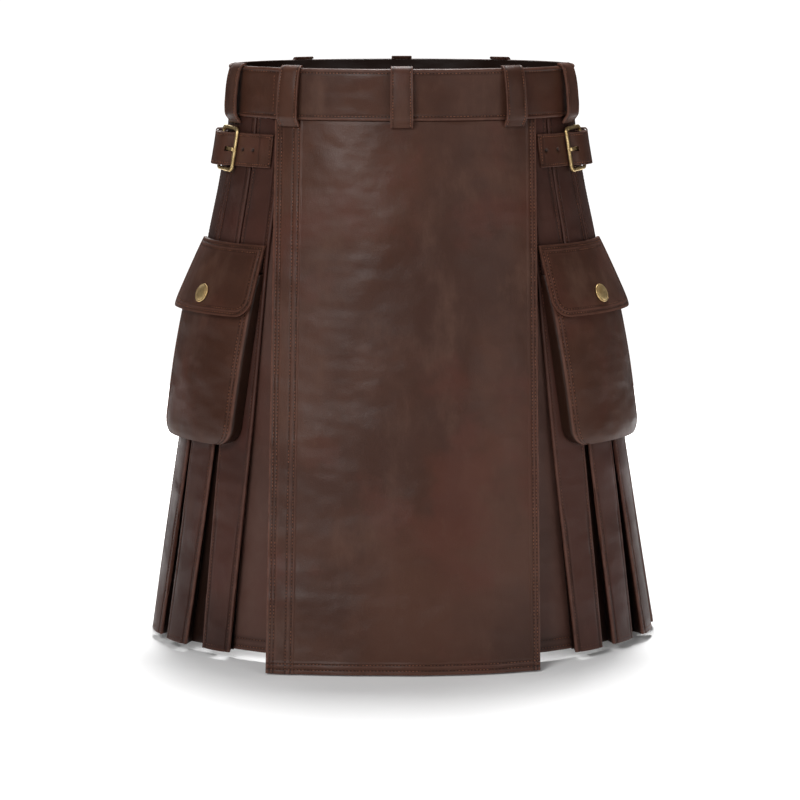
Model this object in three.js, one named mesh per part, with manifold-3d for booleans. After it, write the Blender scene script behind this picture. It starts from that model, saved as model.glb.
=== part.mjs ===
// A leather utility kilt in its worn shape: a wide waistband with belt loops, a flat front apron over
// an under apron, six panels of box pleats round the sides and back, a cargo pocket and a buckled
// strap at each hip.
//
// Millimetres, +Z up. The front faces -Y and the wearer's left is +X. The origin is the centre of the
// waist opening, level with the middle of the waistband. "Drop" is the distance below the
// waistband's top edge. "Along" is the distance round the body from the centre front, positive to
// +X. "Out" is the distance outwards from the body form, on which the pleats' faces lie.
import * as THREE from "three";
import Module from "manifold-3d";

const wasm = await Module();
wasm.setup();

// Sizes of the leather and its seams
const SEAM = 0.3;
const PANEL_SEAM = 0.6;
const WALL = 1.6;
const FOLD = 1.15;
const FOLD_REACH = FOLD + (WALL / 2) * Math.SQRT2;

// The body form at each drop: half its width, and its depth to the front and to the back
const FORM = [
  { drop: 0, halfWidth: 180.5, front: 121, back: 124 },
  { drop: 55, halfWidth: 183.5, front: 124, back: 129 },
  { drop: 119, halfWidth: 193.5, front: 132, back: 141 },
  { drop: 187, halfWidth: 207.5, front: 141, back: 155 },
  { drop: 400, halfWidth: 240.5, front: 170, back: 188 },
  { drop: 600, halfWidth: 271.5, front: 200, back: 214 },
];

// The box pleats, ten a side. Gap is between two faces, depth from a face to the inner layer, tuck
// how far the fold runs back under the face, start the form's angle of the first.
const PLEATS_A_SIDE = 10;
const PANELS = [
  { place: "side", first: 0, end: 4 },
  { place: "hip", first: 4, end: 7 },
  { place: "back", first: 7, end: 10 },
];
const PLEAT_DROPS = [52.8, 90, 130, 187, 290, 400, 500, 602];
const PLEATS = [
  { drop: 55, gap: 0.9, depth: 4.6, tuck: 9, start: 41.8 },
  { drop: 250, gap: 1.4, depth: 5.2, tuck: 9, start: 41 },
  { drop: 400, gap: 7, depth: 9, tuck: 8, start: 40.2 },
  { drop: 600, gap: 19, depth: 15, tuck: 6.5, start: 39.5 },
];
const FELL_DROP = 250;
const HEM_DROP = 602;
const SWING = 1.4;
const KICK = 2.2;
const PLEAT_SEAM_TUCK = 3;

const WAISTBAND = {
  height: 52.5,
  thickness: 3.6,
  footThickness: 7.6,
  outerEnd: -139,
  innerEnd: 118,
  overOut: 5.2,
  singleOut: 1.4,
  underOut: 0.9,
  step: 18,
};
const WAIST_TOP = WAISTBAND.height / 2;

const APRON = {
  topDrop: WAISTBAND.height + SEAM,
  hemDrop: 609,
  topLeft: -130.5,
  topRight: 138.5,
  hemLeft: -139,
  hemRight: 142,
  clearance: 1,
  centreLift: 14,
  leftLift: 18,
  rightLift: 7,
  placketWidth: 28,
  hemmedEdge: 10,
  edgeExtra: 0.8,
};
const UNDER_APRON = { hemDrop: 601, rise: 3.2, riseEnd: 260, flatHalf: 120 };

const BELT_LOOP = { width: 22, thickness: 2.4 };
// Distances of the eight belt loops from the centre front, in turn to the left and the right
const LOOP_PLACES = [
  { name: "front_centre", along: 0 },
  { name: "front_left", along: -115 },
  { name: "front_right", along: 115 },
  { name: "side_left", along: -195 },
  { name: "side_right", along: 195 },
  { name: "back_left", along: -374 },
  { name: "back_right", along: 374 },
  { name: "back_centre", along: Infinity },
];
// The belt loop's middle line, out from the waistband's face, and its foot, out from what it's on
const LOOP_LINE = [
  { out: -2.6, drop: -1.6 },
  { out: 0.9, drop: -1.6 },
  { out: 3.6, drop: 1.2 },
  { out: 6, drop: 8 },
  { out: 7.6, drop: 18 },
  { out: 8.3, drop: 30 },
  { out: 8.3, drop: 43.5 },
  { out: 7.1, drop: 50.5 },
];
const LOOP_FOOT = [
  { out: 4.6, drop: 55.4 },
  { out: 1.9, drop: 59 },
];

const STRAP = { drop: 86, width: 34, thickness: 2.2, tip: 285, tipRound: 12, step: 7 };
const BUCKLE = { along: 208, out: 4.4, width: 40, height: 47.5, bar: 4, thickness: 3.2, corner: 6 };
const PIVOT = { along: 226, out: 5.9, barRadius: 2.6 };
const PIVOT_X = (BUCKLE.width - BUCKLE.bar) / 2;
const CHAPE = { thickness: 1.6, eyeRadius: 4.5, end: 328, slotX: 16.8, slotLength: 13.4, slotHeight: 5.2 };
const PRONG = { width: 3.4, thickness: 2.2, holeX: -7.5, holeLength: 11, holeHeight: 4.8 };
const CUT_DEPTH = 40;
const KEEPER = { from: 240, to: 252, thickness: 1.3, underOut: 0.8, overOut: 10.6, clearance: 0.7 };
// The strap's middle line: under the buckle's front bar, up over its pivot, on under the keeper
const STRAP_LINE = [
  { along: 165, out: 2 },
  { along: 187, out: 2 },
  { along: 193, out: 2.2 },
  { along: 198, out: 5.2 },
  { along: 203, out: 9.2 },
  { along: 208, out: 11.8 },
  { along: 215, out: 12.9 },
  { along: 223, out: 13 },
  { along: 229, out: 12.4 },
  { along: 235, out: 10.2 },
  { along: 241, out: 8.2 },
  { along: 246, out: 7.9 },
  { along: 266, out: 7.9 },
];

const POCKET = {
  angle: 63.2,
  halfWidth: 63,
  corner: 17,
  wall: 1.4,
  backOut: 1,
  crown: 1.4,
  columns: 7,
  bottomBend: 372,
  bottomWall: 1.5,
};
const CUTTER_PAST = 8; // how far a cutter reaches past what it cuts
// How far the pocket's front stands out at each drop, from its mouth to its bottom
const POCKET_REACH = [
  { drop: 212, reach: 9.2 },
  { drop: 231, reach: 13 },
  { drop: 258, reach: 16.4 },
  { drop: 322, reach: 18.8 },
  { drop: 371, reach: 18.4 },
  { drop: 380, reach: 17.4 },
  { drop: 388, reach: 15.2 },
];
const FLAP = {
  topDrop: 182,
  hemDrop: 254,
  topHalf: 60.5,
  hemHalf: 67,
  corner: 18,
  thickness: 2.8,
  topOut: 0.9,
  hemOut: 22,
};
const FLAP_DROPS = [182, 193, 211, 228, 239, 247, 252.2, 254];
const SNAP = { drop: 234.5, radius: 10, height: 3.2, segments: 20 };

// Finishes, from the photograph
const FINISH = {
  leather: new THREE.MeshStandardMaterial({ color: 0x4a312b, roughness: 0.5, metalness: 0 }),
  brass: new THREE.MeshStandardMaterial({ color: 0x9a7a45, roughness: 0.35, metalness: 1 }),
};

// The value in one column of a table at a drop, on a smooth curve with no overshoot.
function tableAt(table, drop, column) {
  const last = table.length - 1;
  const slope = (i) =>
    (table[i + 1][column] - table[i][column]) / (table[i + 1].drop - table[i].drop);
  const tangent = (i) => {
    if (i === 0) return slope(0);
    if (i === last) return slope(last - 1);
    const [before, after] = [slope(i - 1), slope(i)];
    return before * after <= 0 ? 0 : (2 * before * after) / (before + after);
  };
  let i = 0;
  while (i < last - 1 && drop > table[i + 1].drop) i += 1;
  const span = table[i + 1].drop - table[i].drop;
  const t = (drop - table[i].drop) / span;
  const [low, high] = [table[i][column], table[i + 1][column]];
  return (
    low * (1 + 2 * t) * (1 - t) ** 2 +
    high * t * t * (3 - 2 * t) +
    tangent(i) * span * t * (1 - t) ** 2 -
    tangent(i + 1) * span * t * t * (1 - t)
  );
}

const mix = (a, b, share) => a + (b - a) * share;
const smooth = (share) => {
  const t = Math.min(1, Math.max(0, share));
  return t * t * (3 - 2 * t);
};

// Half of the body form's outline at a drop, as distances along it at even steps of its angle.
const RING_STEPS = 360;
const rings = new Map();
function ringAt(drop) {
  if (rings.has(drop)) return rings.get(drop);
  const ring = {
    halfWidth: tableAt(FORM, drop, "halfWidth"),
    front: tableAt(FORM, drop, "front"),
    back: tableAt(FORM, drop, "back"),
    lengths: [0],
  };
  const step = Math.PI / RING_STEPS;
  for (let i = 0; i < RING_STEPS; i += 1) {
    const angle = (i + 0.5) * step;
    const depth = angle < Math.PI / 2 ? ring.front : ring.back;
    const speed = Math.hypot(ring.halfWidth * Math.cos(angle), depth * Math.sin(angle));
    ring.lengths.push(ring.lengths[i] + speed * step);
  }
  ring.half = ring.lengths[RING_STEPS];
  rings.set(drop, ring);
  return ring;
}

// The distance along the outline to an angle of the form, in degrees from the centre front.
function alongAtAngle(drop, degrees) {
  const place = (degrees / 180) * RING_STEPS;
  const i = Math.min(RING_STEPS - 1, Math.floor(place));
  const { lengths } = ringAt(drop);
  return mix(lengths[i], lengths[i + 1], place - i);
}

// The angle of the form, in radians from the centre front, at a distance along the outline.
function angleAt(drop, along) {
  const ring = ringAt(drop);
  const round = 2 * ring.half;
  const near = along - round * Math.round(along / round);
  const length = Math.min(Math.abs(near), ring.half - 1e-9);
  let [low, high] = [0, RING_STEPS];
  while (high - low > 1) {
    const middle = (low + high) >> 1;
    if (ring.lengths[middle] <= length) low = middle;
    else high = middle;
  }
  const part = (length - ring.lengths[low]) / (ring.lengths[high] - ring.lengths[low]);
  return Math.sign(near || 1) * ((low + part) / RING_STEPS) * Math.PI;
}

// A point of the body form at a drop and an angle, moved outwards.
function formPoint(drop, angle, out) {
  const { halfWidth, front, back } = ringAt(drop);
  const depth = Math.abs(angle) < Math.PI / 2 ? front : back;
  const normal = new THREE.Vector2(depth * Math.sin(angle), -halfWidth * Math.cos(angle));
  normal.normalize();
  return new THREE.Vector3(
    halfWidth * Math.sin(angle) + normal.x * out,
    -depth * Math.cos(angle) + normal.y * out,
    WAIST_TOP - drop,
  );
}

const outline = (drop, along, out) => formPoint(drop, angleAt(drop, along), out);

// A line of flat points moved sideways by a distance, with mitred corners. Points are [x, y], and a
// line that runs along +x moves towards -y.
const MITRE_LIMIT = 0.35;
function offsetLine(points, distance) {
  const across = (a, b) => {
    const [x, y] = [b[1] - a[1], a[0] - b[0]];
    const length = Math.hypot(x, y);
    return [x / length, y / length];
  };
  return points.map((point, i) => {
    const before = across(points[Math.max(0, i - 1)], points[Math.max(1, i)]);
    const last = points.length - 1;
    const after = across(points[Math.min(last - 1, i)], points[Math.min(last, i + 1)]);
    const sum = [before[0] + after[0], before[1] + after[1]];
    const length = Math.hypot(...sum);
    const unit = [sum[0] / length, sum[1] / length];
    const mitre = Math.max(MITRE_LIMIT, unit[0] * before[0] + unit[1] * before[1]);
    return [point[0] + (unit[0] * distance) / mitre, point[1] + (unit[1] * distance) / mitre];
  });
}

// Collects triangles of a closed body and turns them to face outwards.
class Skin {
  corners = [];

  quad(a, b, c, d) {
    this.corners.push(a, b, c, a, c, d);
  }

  grid(rows) {
    for (let r = 0; r < rows.length - 1; r += 1) {
      for (let c = 0; c < rows[r].length - 1; c += 1) {
        this.quad(rows[r][c], rows[r][c + 1], rows[r + 1][c + 1], rows[r + 1][c]);
      }
    }
  }

  backGrid(rows) {
    this.grid(rows.map((row) => [...row].reverse()));
  }

  // A strip that joins the edge of a grid to the same edge of the back grid.
  rim(front, back) {
    for (let i = 0; i < front.length - 1; i += 1) {
      this.quad(front[i + 1], front[i], back[i], back[i + 1]);
    }
  }

  geometry() {
    const { corners } = this;
    let volume = 0;
    for (let i = 0; i < corners.length; i += 3) {
      volume += corners[i].dot(corners[i + 1].clone().cross(corners[i + 2]));
    }
    const turned = volume > 0 ? [0, 1, 2] : [0, 2, 1];
    const numbers = corners.flatMap((_, i) => corners[i - (i % 3) + turned[i % 3]].toArray());
    const made = new THREE.BufferGeometry();
    made.setAttribute("position", new THREE.Float32BufferAttribute(numbers, 3));
    return made;
  }
}

const column = (rows, c) => rows.map((row) => row.at(c));

// A wall of cloth between two grids of points. Closed rows run on from the last to the first.
function wall(front, back, closed = false) {
  const skin = new Skin();
  const [face, lining] = closed ? [[...front, front[0]], [...back, back[0]]] : [front, back];
  skin.grid(face);
  skin.backGrid(lining);
  if (!closed) {
    skin.rim(face[0], lining[0]);
    skin.rim([...face.at(-1)].reverse(), [...lining.at(-1)].reverse());
  }
  skin.rim(column(face, -1), column(lining, -1));
  skin.rim(column(face, 0).reverse(), column(lining, 0).reverse());
  return skin.geometry();
}

// A line of flat points with more points put in, so that it follows the body form closely.
function refined(line, step) {
  return line.flatMap((point, i) => {
    if (i === 0) return [point];
    const before = line[i - 1];
    const pieces = Math.ceil(Math.abs(point[0] - before[0]) / step) || 1;
    return Array.from({ length: pieces }, (_, k) => [
      mix(before[0], point[0], (k + 1) / pieces),
      mix(before[1], point[1], (k + 1) / pieces),
    ]);
  });
}

// A flat ribbon that follows a line of [x, y] points: place turns a point and a share of the
// ribbon's width, from -1 to 1, into a point of the part.
function ribbon(line, thickness, place, { widths = [-1, 1], closed = false } = {}) {
  const path = closed ? [line.at(-1), ...line, line[0]] : line;
  const side = (distance) => {
    const moved = offsetLine(path, distance);
    return closed ? moved.slice(1, -1) : moved;
  };
  const rows = (distance) =>
    side(distance).map(([x, y]) => widths.map((share) => place(x, y, share)));
  return wall(rows(thickness / 2), rows(-thickness / 2), closed);
}

// manifold-3d solids from geometries and back, for cuts.
function solidOf(geometry) {
  const plain = geometry.index ? geometry.toNonIndexed() : geometry;
  const position = plain.getAttribute("position");
  const seen = new Map();
  const vertices = [];
  const triangles = [];
  for (let i = 0; i < position.count; i += 1) {
    const point = [position.getX(i), position.getY(i), position.getZ(i)];
    const key = point.map((x) => x.toFixed(4)).join();
    if (!seen.has(key)) {
      seen.set(key, seen.size);
      vertices.push(...point);
    }
    triangles.push(seen.get(key));
  }
  return new wasm.Manifold(
    new wasm.Mesh({
      numProp: 3,
      vertProperties: new Float32Array(vertices),
      triVerts: new Uint32Array(triangles),
    }),
  );
}

function geometryOf(solid) {
  const mesh = solid.getMesh();
  const made = new THREE.BufferGeometry();
  made.setAttribute("position", new THREE.BufferAttribute(mesh.vertProperties, 3));
  made.setIndex(new THREE.BufferAttribute(mesh.triVerts, 1));
  return made.toNonIndexed();
}

function named(name, geometry, finish) {
  const mesh = new THREE.Mesh(geometry, finish);
  mesh.name = name;
  return mesh;
}

// The frame of a surface at a point: x runs backwards round the body, z points out.
function frameOn(surface, side) {
  const here = surface(0, 0);
  const up = surface(0, 1).sub(here).normalize().multiplyScalar(side);
  const out = surface(1, 0).sub(here).cross(up).normalize();
  const back = up.clone().cross(out);
  return new THREE.Matrix4().makeBasis(back, up, out).setPosition(here);
}

// The pleats' pitch and start at a drop, and how far each one has swung or kicked by its hem.
function pleatPlan(drop) {
  const start = alongAtAngle(drop, tableAt(PLEATS, drop, "start"));
  return {
    start,
    pitch: (ringAt(drop).half - start) / PLEATS_A_SIDE,
    gap: tableAt(PLEATS, drop, "gap"),
    depth: tableAt(PLEATS, drop, "depth"),
    tuck: tableAt(PLEATS, drop, "tuck"),
  };
}

const hangAt = (drop) => Math.max(0, (drop - FELL_DROP) / (HEM_DROP - FELL_DROP)) ** 3;
const swingOf = (index, side, drop) => SWING * Math.sin(2.3 * index + side) * hangAt(drop);
const kickOf = (index, side, drop) => KICK * Math.cos(1.7 * index + 2 * side) * hangAt(drop);

// Half of a box pleat, from its face round the outer fold and back under to the inner layer.
function halfPleat({ pitch, gap, depth, tuck }) {
  const edge = (pitch - gap) / 2 - FOLD_REACH;
  return [
    [edge, 0],
    [edge + FOLD, FOLD],
    [edge, 2 * FOLD],
    [edge - tuck, depth - 2 * FOLD],
    [edge - tuck - FOLD, depth - FOLD],
    [edge - tuck, depth],
  ];
}

// The along of the seam between the under apron and the first pleat, under that pleat's face.
function firstSeam(drop, side) {
  const plan = pleatPlan(drop);
  const [inner] = halfPleat(plan).at(-1);
  return plan.start + plan.pitch / 2 - inner - PLEAT_SEAM_TUCK + swingOf(0, side, drop);
}

// Some box pleats in one wall, from the seam in front of them to the seam behind them.
function pleatPanel(side, { first, end }) {
  const rowAt = (drop, distance) => {
    const plan = pleatPlan(drop);
    const half = halfPleat(plan);
    const gapMiddle = (index) => plan.start + index * plan.pitch;
    const front = first ? gapMiddle(first) + PANEL_SEAM / 2 : firstSeam(drop, side);
    const line = [[front, plan.depth]];
    for (let index = first; index < end; index += 1) {
      const centre = plan.start + (index + 0.5) * plan.pitch + swingOf(index, side, drop);
      const kick = kickOf(index, side, drop);
      const before = half.map(([u, d]) => [centre - u, d - kick]).reverse();
      const after = half.map(([u, d]) => [centre + u, d - kick]);
      line.push(...before, ...after);
    }
    line.push([gapMiddle(end) - PANEL_SEAM / 2, plan.depth]);
    return offsetLine(line, distance).map(([along, deep]) =>
      outline(drop, side * along, -deep - WALL / 2),
    );
  };
  return wall(
    PLEAT_DROPS.map((drop) => rowAt(drop, WALL / 2)),
    PLEAT_DROPS.map((drop) => rowAt(drop, -WALL / 2)),
  );
}

// How far the waistband's outer face stands out: over itself at the front, single round the back,
// and under itself where its inner end lies behind the front.
function bandOut(along, round) {
  const { outerEnd, innerEnd, overOut, singleOut, underOut } = WAISTBAND;
  const joined = smooth((along - innerEnd - 10) / 70);
  const under = smooth((along - (round + outerEnd - 70)) / 60);
  return mix(mix(overOut, singleOut, joined), underOut, under);
}

// How much thicker the waistband's foot is where it holds the pleats' three layers.
function bandFoot(along, round) {
  const { outerEnd, innerEnd, thickness, footThickness } = WAISTBAND;
  const on = smooth((along - innerEnd - 30) / 60);
  const off = smooth((along - (round + outerEnd - 70)) / 60);
  return mix(thickness, footThickness, on * (1 - off));
}

const BAND_MIDDLE = WAISTBAND.height / 2;
function bandPoint(drop, along, out) {
  return outline(drop, (along * ringAt(drop).half) / ringAt(BAND_MIDDLE).half, out);
}

// One long strip that starts at the wearer's right front, goes once round and ends behind itself.
function waistband() {
  const { height, thickness, outerEnd, innerEnd, step } = WAISTBAND;
  const round = 2 * ringAt(BAND_MIDDLE).half;
  const length = round + innerEnd - outerEnd;
  const steps = Math.ceil(length / step);
  const places = Array.from({ length: steps + 1 }, (_, i) => outerEnd + (length * i) / steps);
  const outer = (drop) => places.map((along) => bandPoint(drop, along, bandOut(along, round)));
  const inner = (drop, thick) =>
    places.map((along) => bandPoint(drop, along, bandOut(along, round) - thick(along)));
  return wall(
    [outer(0), outer(height)],
    [inner(0, () => thickness), inner(height, (along) => bandFoot(along, round))],
  );
}

// The apron hangs from the waistband, rests on the form at its top and swings clear of it below.
function apronPoint(x, drop, out) {
  const { halfWidth, front } = ringAt(drop);
  const { topDrop, hemDrop, clearance, centreLift, leftLift, rightLift } = APRON;
  const hang = ((drop - topDrop) / (hemDrop - topDrop)) ** 1.2;
  const side = x < 0 ? leftLift : rightLift;
  const lift = centreLift + side * (x / APRON.topRight) ** 2;
  const depth = front * Math.sqrt(1 - (x / halfWidth) ** 2) + clearance + lift * hang;
  return new THREE.Vector3(x, -depth - out, WAIST_TOP - drop);
}

function apron() {
  const { topDrop, hemDrop, placketWidth, hemmedEdge, edgeExtra } = APRON;
  const drops = [topDrop, 120, 190, 270, 360, 450, 530, hemDrop];
  const row = (drop, out) => {
    const down = (drop - topDrop) / (hemDrop - topDrop);
    const left = mix(APRON.topLeft, APRON.hemLeft, down);
    const right = mix(APRON.topRight, APRON.hemRight, down);
    const shares = [0.12, 0.26, 0.4, 0.54, 0.68, 0.82];
    const inside = [left + placketWidth, right - hemmedEdge];
    const columns = [
      { x: left, extra: edgeExtra },
      { x: inside[0] - 1, extra: edgeExtra },
      { x: inside[0], extra: 0 },
      ...shares.map((share) => ({ x: mix(inside[0], inside[1], share), extra: 0 })),
      { x: inside[1], extra: 0 },
      { x: inside[1] + 1, extra: edgeExtra },
      { x: right, extra: edgeExtra },
    ];
    return columns.map(({ x, extra }) => apronPoint(x, drop, out && out + extra));
  };
  return wall(
    drops.map((drop) => row(drop, WALL)),
    drops.map((drop) => row(drop, 0)),
  );
}

function underApron() {
  const drops = [...PLEAT_DROPS.slice(0, -1), UNDER_APRON.hemDrop];
  const columns = 12;
  const row = (drop, distance) => {
    const { depth } = pleatPlan(drop);
    const { rise, riseEnd, flatHalf } = UNDER_APRON;
    const topness = smooth((riseEnd - drop) / (riseEnd - WAISTBAND.height));
    return Array.from({ length: columns + 1 }, (_, i) => {
      const side = i < columns / 2 ? -1 : 1;
      const reach = firstSeam(drop, side) - PANEL_SEAM;
      const along = side * reach * Math.abs((2 * i) / columns - 1);
      const middle = smooth((reach - Math.abs(along)) / (reach - flatHalf + 30));
      return outline(drop, along, distance - depth - WALL / 2 + rise * topness * middle);
    });
  };
  return wall(
    drops.map((drop) => row(drop, WALL / 2)),
    drops.map((drop) => row(drop, -WALL / 2)),
  );
}

// A belt loop hooks over the waistband's top edge, stands off its face and is sewn down below it.
function beltLoop(place) {
  const half = ringAt(BAND_MIDDLE).half;
  const along = Math.min(place, half);
  const turn = along < WAISTBAND.outerEnd ? along + 2 * half : along;
  const face = bandOut(turn, 2 * half);
  const onApron = Math.abs(along) < -WAISTBAND.outerEnd;
  const below = onApron ? APRON.clearance + WALL + APRON.edgeExtra : 0;
  const line = [
    ...LOOP_LINE.map(({ out, drop }) => [drop, face + out]),
    ...LOOP_FOOT.map(({ out, drop }) => [drop, below + out]),
  ];
  const point = (drop, out, share) =>
    bandPoint(drop, along + (share * BELT_LOOP.width) / 2, out);
  return ribbon(line, BELT_LOOP.thickness, point, { widths: [-1, 0, 1] });
}

// A point of a strap: a distance along its middle, a rise above it and a distance out.
function strapPoint(side, along, rise, out) {
  return formPoint(STRAP.drop - rise, side * angleAt(STRAP.drop, along), out);
}

// The frame of a side's buckle: x runs back along the strap from the buckle's middle, z points out.
function buckleAt(side) {
  return frameOn((a, b) => strapPoint(side, BUCKLE.along + a, b, BUCKLE.out), side);
}

// The billet starts at the apron's edge, goes through the buckle and ends in a round tip.
function billet(side) {
  const { drop, width, thickness, tip, tipRound } = STRAP;
  const edge = side < 0 ? -APRON.topLeft : APRON.topRight;
  const angle = (Math.asin((edge + 2) / ringAt(drop).halfWidth) * 180) / Math.PI;
  const start = alongAtAngle(drop, angle) + SEAM;
  const flat = STRAP_LINE.map(({ along, out }) => [along, out]);
  const tips = [0.35, 0.75, 1].map((share) => [tip - tipRound * (1 - share), 7.2]);
  const line = [[start, 1.9], ...flat, ...tips];
  const place = (along, out, across) => {
    const near = Math.max(0, along - (tip - tipRound)) / tipRound;
    const half = (width / 2) * (1 - 0.45 * Math.min(1, near) ** 2);
    return strapPoint(side, along, across * half, out);
  };
  const strip = solidOf(ribbon(refined(line, STRAP.step), thickness, place));
  const cutter = new THREE.BoxGeometry(PRONG.holeLength, PRONG.holeHeight, CUT_DEPTH);
  cutter.translate(PRONG.holeX, 0, 0).applyMatrix4(buckleAt(side));
  return geometryOf(strip.subtract(solidOf(cutter)));
}

// The chape holds the buckle: it is doubled round the pivot bar, slotted there for the prong, and
// sewn to the pleats behind.
function chape(side) {
  const { thickness, eyeRadius, end, slotX, slotLength, slotHeight } = CHAPE;
  const eye = [75, 115, 150, 180, 210, 245, 285].map((degrees) => {
    const angle = (degrees * Math.PI) / 180;
    return [PIVOT.along + eyeRadius * Math.cos(angle), PIVOT.out + eyeRadius * Math.sin(angle)];
  });
  const top = [[262, 5.5], [238, 5.5], [232, 7.2]];
  const tail = [[232, 3.2], [262, 3.45], [274, 1.7], [end, 1.7]];
  const line = [...top, ...eye, ...tail];
  const place = (along, out, share) => strapPoint(side, along, (share * STRAP.width) / 2, out);
  const strip = solidOf(ribbon(refined(line, STRAP.step), thickness, place));
  const cutter = new THREE.BoxGeometry(slotLength, slotHeight, CUT_DEPTH);
  cutter.translate(slotX, 0, 0).applyMatrix4(buckleAt(side));
  return geometryOf(strip.subtract(solidOf(cutter)));
}

function keeper(side) {
  const { from, to, thickness, underOut, overOut, clearance } = KEEPER;
  const half = STRAP.width / 2 + clearance + thickness / 2;
  const [low, high] = [underOut + thickness / 2, overOut + thickness / 2];
  const bevel = 0.8;
  const line = [
    [-half + bevel, low],
    [half - bevel, low],
    [half, low + bevel],
    [half, high - bevel],
    [half - bevel, high],
    [-half + bevel, high],
    [-half, high - bevel],
    [-half, low + bevel],
  ];
  const place = (rise, out, share) => strapPoint(side, mix(from, to, (share + 1) / 2), rise, out);
  return ribbon(line, thickness, place, { widths: [-1, 0, 1], closed: true });
}

function roundedRectangle(width, height, radius, Kind) {
  const [x, y] = [width / 2, height / 2];
  return new Kind()
    .moveTo(-x + radius, -y)
    .lineTo(x - radius, -y)
    .absarc(x - radius, -y + radius, radius, -Math.PI / 2, 0)
    .lineTo(x, y - radius)
    .absarc(x - radius, y - radius, radius, 0, Math.PI / 2)
    .lineTo(-x + radius, y)
    .absarc(-x + radius, y - radius, radius, Math.PI / 2, Math.PI)
    .lineTo(-x, -y + radius)
    .absarc(-x + radius, -y + radius, radius, Math.PI, 1.5 * Math.PI);
}

function buckleFrame() {
  const { width, height, bar, thickness, corner } = BUCKLE;
  const bevel = 0.6;
  const inset = 2 * bevel;
  const shape = roundedRectangle(width - inset, height - inset, corner - bevel, THREE.Shape);
  const [holeWidth, holeHeight] = [width - 2 * bar + inset, height - 2 * bar + inset];
  shape.holes.push(roundedRectangle(holeWidth, holeHeight, corner - bar + bevel, THREE.Path));
  const made = new THREE.ExtrudeGeometry(shape, {
    depth: thickness - inset,
    bevelThickness: bevel,
    bevelSize: bevel,
    bevelSegments: 1,
    curveSegments: 3,
  });
  return made.translate(0, 0, bevel - thickness / 2);
}

// The prong turns on the pivot bar, comes up through the billet and rests on the front bar.
function prong() {
  const { width, thickness } = PRONG;
  const [inside, outside] = [PIVOT.barRadius + 0.3, PIVOT.barRadius + 0.3 + 1.2];
  const restZ = BUCKLE.thickness / 2 + SEAM;
  const [from, to] = [2.8, 2.55];
  const shape = new THREE.Shape()
    .moveTo(-BUCKLE.width / 2 - 0.5, restZ)
    .lineTo(-PIVOT_X + 3, restZ)
    .lineTo(PIVOT_X + outside * Math.cos(-from), outside * Math.sin(-from))
    .absarc(PIVOT_X, 0, outside, -from, to, false)
    .lineTo(-PIVOT_X + 3, restZ + thickness)
    .lineTo(-BUCKLE.width / 2 + 0.4, restZ + thickness)
    .lineTo(-BUCKLE.width / 2 - 0.5, restZ + thickness * 0.6)
    .closePath();
  shape.holes.push(new THREE.Path().absarc(PIVOT_X, 0, inside, 0, 2 * Math.PI, true));
  const made = new THREE.ExtrudeGeometry(shape, {
    depth: width,
    bevelEnabled: false,
    curveSegments: 7,
  });
  return made.translate(0, 0, -width / 2).rotateX(Math.PI / 2);
}

// A point on a pocket's place: across it from its middle line, at a drop, moved out.
function pocketPoint(side, across, drop, out) {
  return outline(drop, side * (alongAtAngle(drop, POCKET.angle) + across), out);
}

// Half the width of a panel whose two lower corners are rounded.
function roundedHalf(half, corner, aboveHem) {
  const short = Math.max(0, corner - aboveHem);
  return half - corner + Math.sqrt(Math.max(0, corner * corner - short * short));
}

const shares = Array.from(
  { length: POCKET.columns },
  (_, i) => (2 * i) / (POCKET.columns - 1) - 1,
);

const POCKET_BOTTOM = POCKET_REACH.at(-1).drop;
const pocketHalf = (drop) => roundedHalf(POCKET.halfWidth, POCKET.corner, POCKET_BOTTOM - drop);
const frontOut = (drop, share) => tableAt(POCKET_REACH, drop, "reach") - POCKET.crown * share ** 4;

function pocketFront(side) {
  const rows = (inset) =>
    POCKET_REACH.map(({ drop }) =>
      shares.map((share) =>
        pocketPoint(side, share * pocketHalf(drop), drop, frontOut(drop, share) - inset),
      ),
    );
  return wall(rows(0), rows(POCKET.wall));
}

// The space in front of the bellows, which starts a seam's width behind the pocket's front.
function beforeBellows(side) {
  const drops = POCKET_REACH.map(({ drop }) => drop);
  const levels = [drops[0] - CUTTER_PAST, ...drops, POCKET_BOTTOM + CUTTER_PAST];
  const rows = (extra) =>
    levels.map((level) => {
      const drop = Math.min(Math.max(level, drops[0]), POCKET_BOTTOM);
      const half = pocketHalf(drop);
      const point = (share, across) =>
        pocketPoint(side, across, level, frontOut(drop, share) - POCKET.wall - SEAM + extra);
      const inside = shares.map((share) => point(share, share * half));
      return [point(-1, -half - CUTTER_PAST), ...inside, point(1, half + CUTTER_PAST)];
    });
  return wall(rows(3 * CUTTER_PAST), rows(0));
}

// The bellows behind the front, open at its mouth: gussets, bottom and back in one wall.
function pocketBag(side) {
  const bellows = solidOf(closedBag(side)).subtract(solidOf(beforeBellows(side)));
  return geometryOf(bellows);
}

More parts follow.
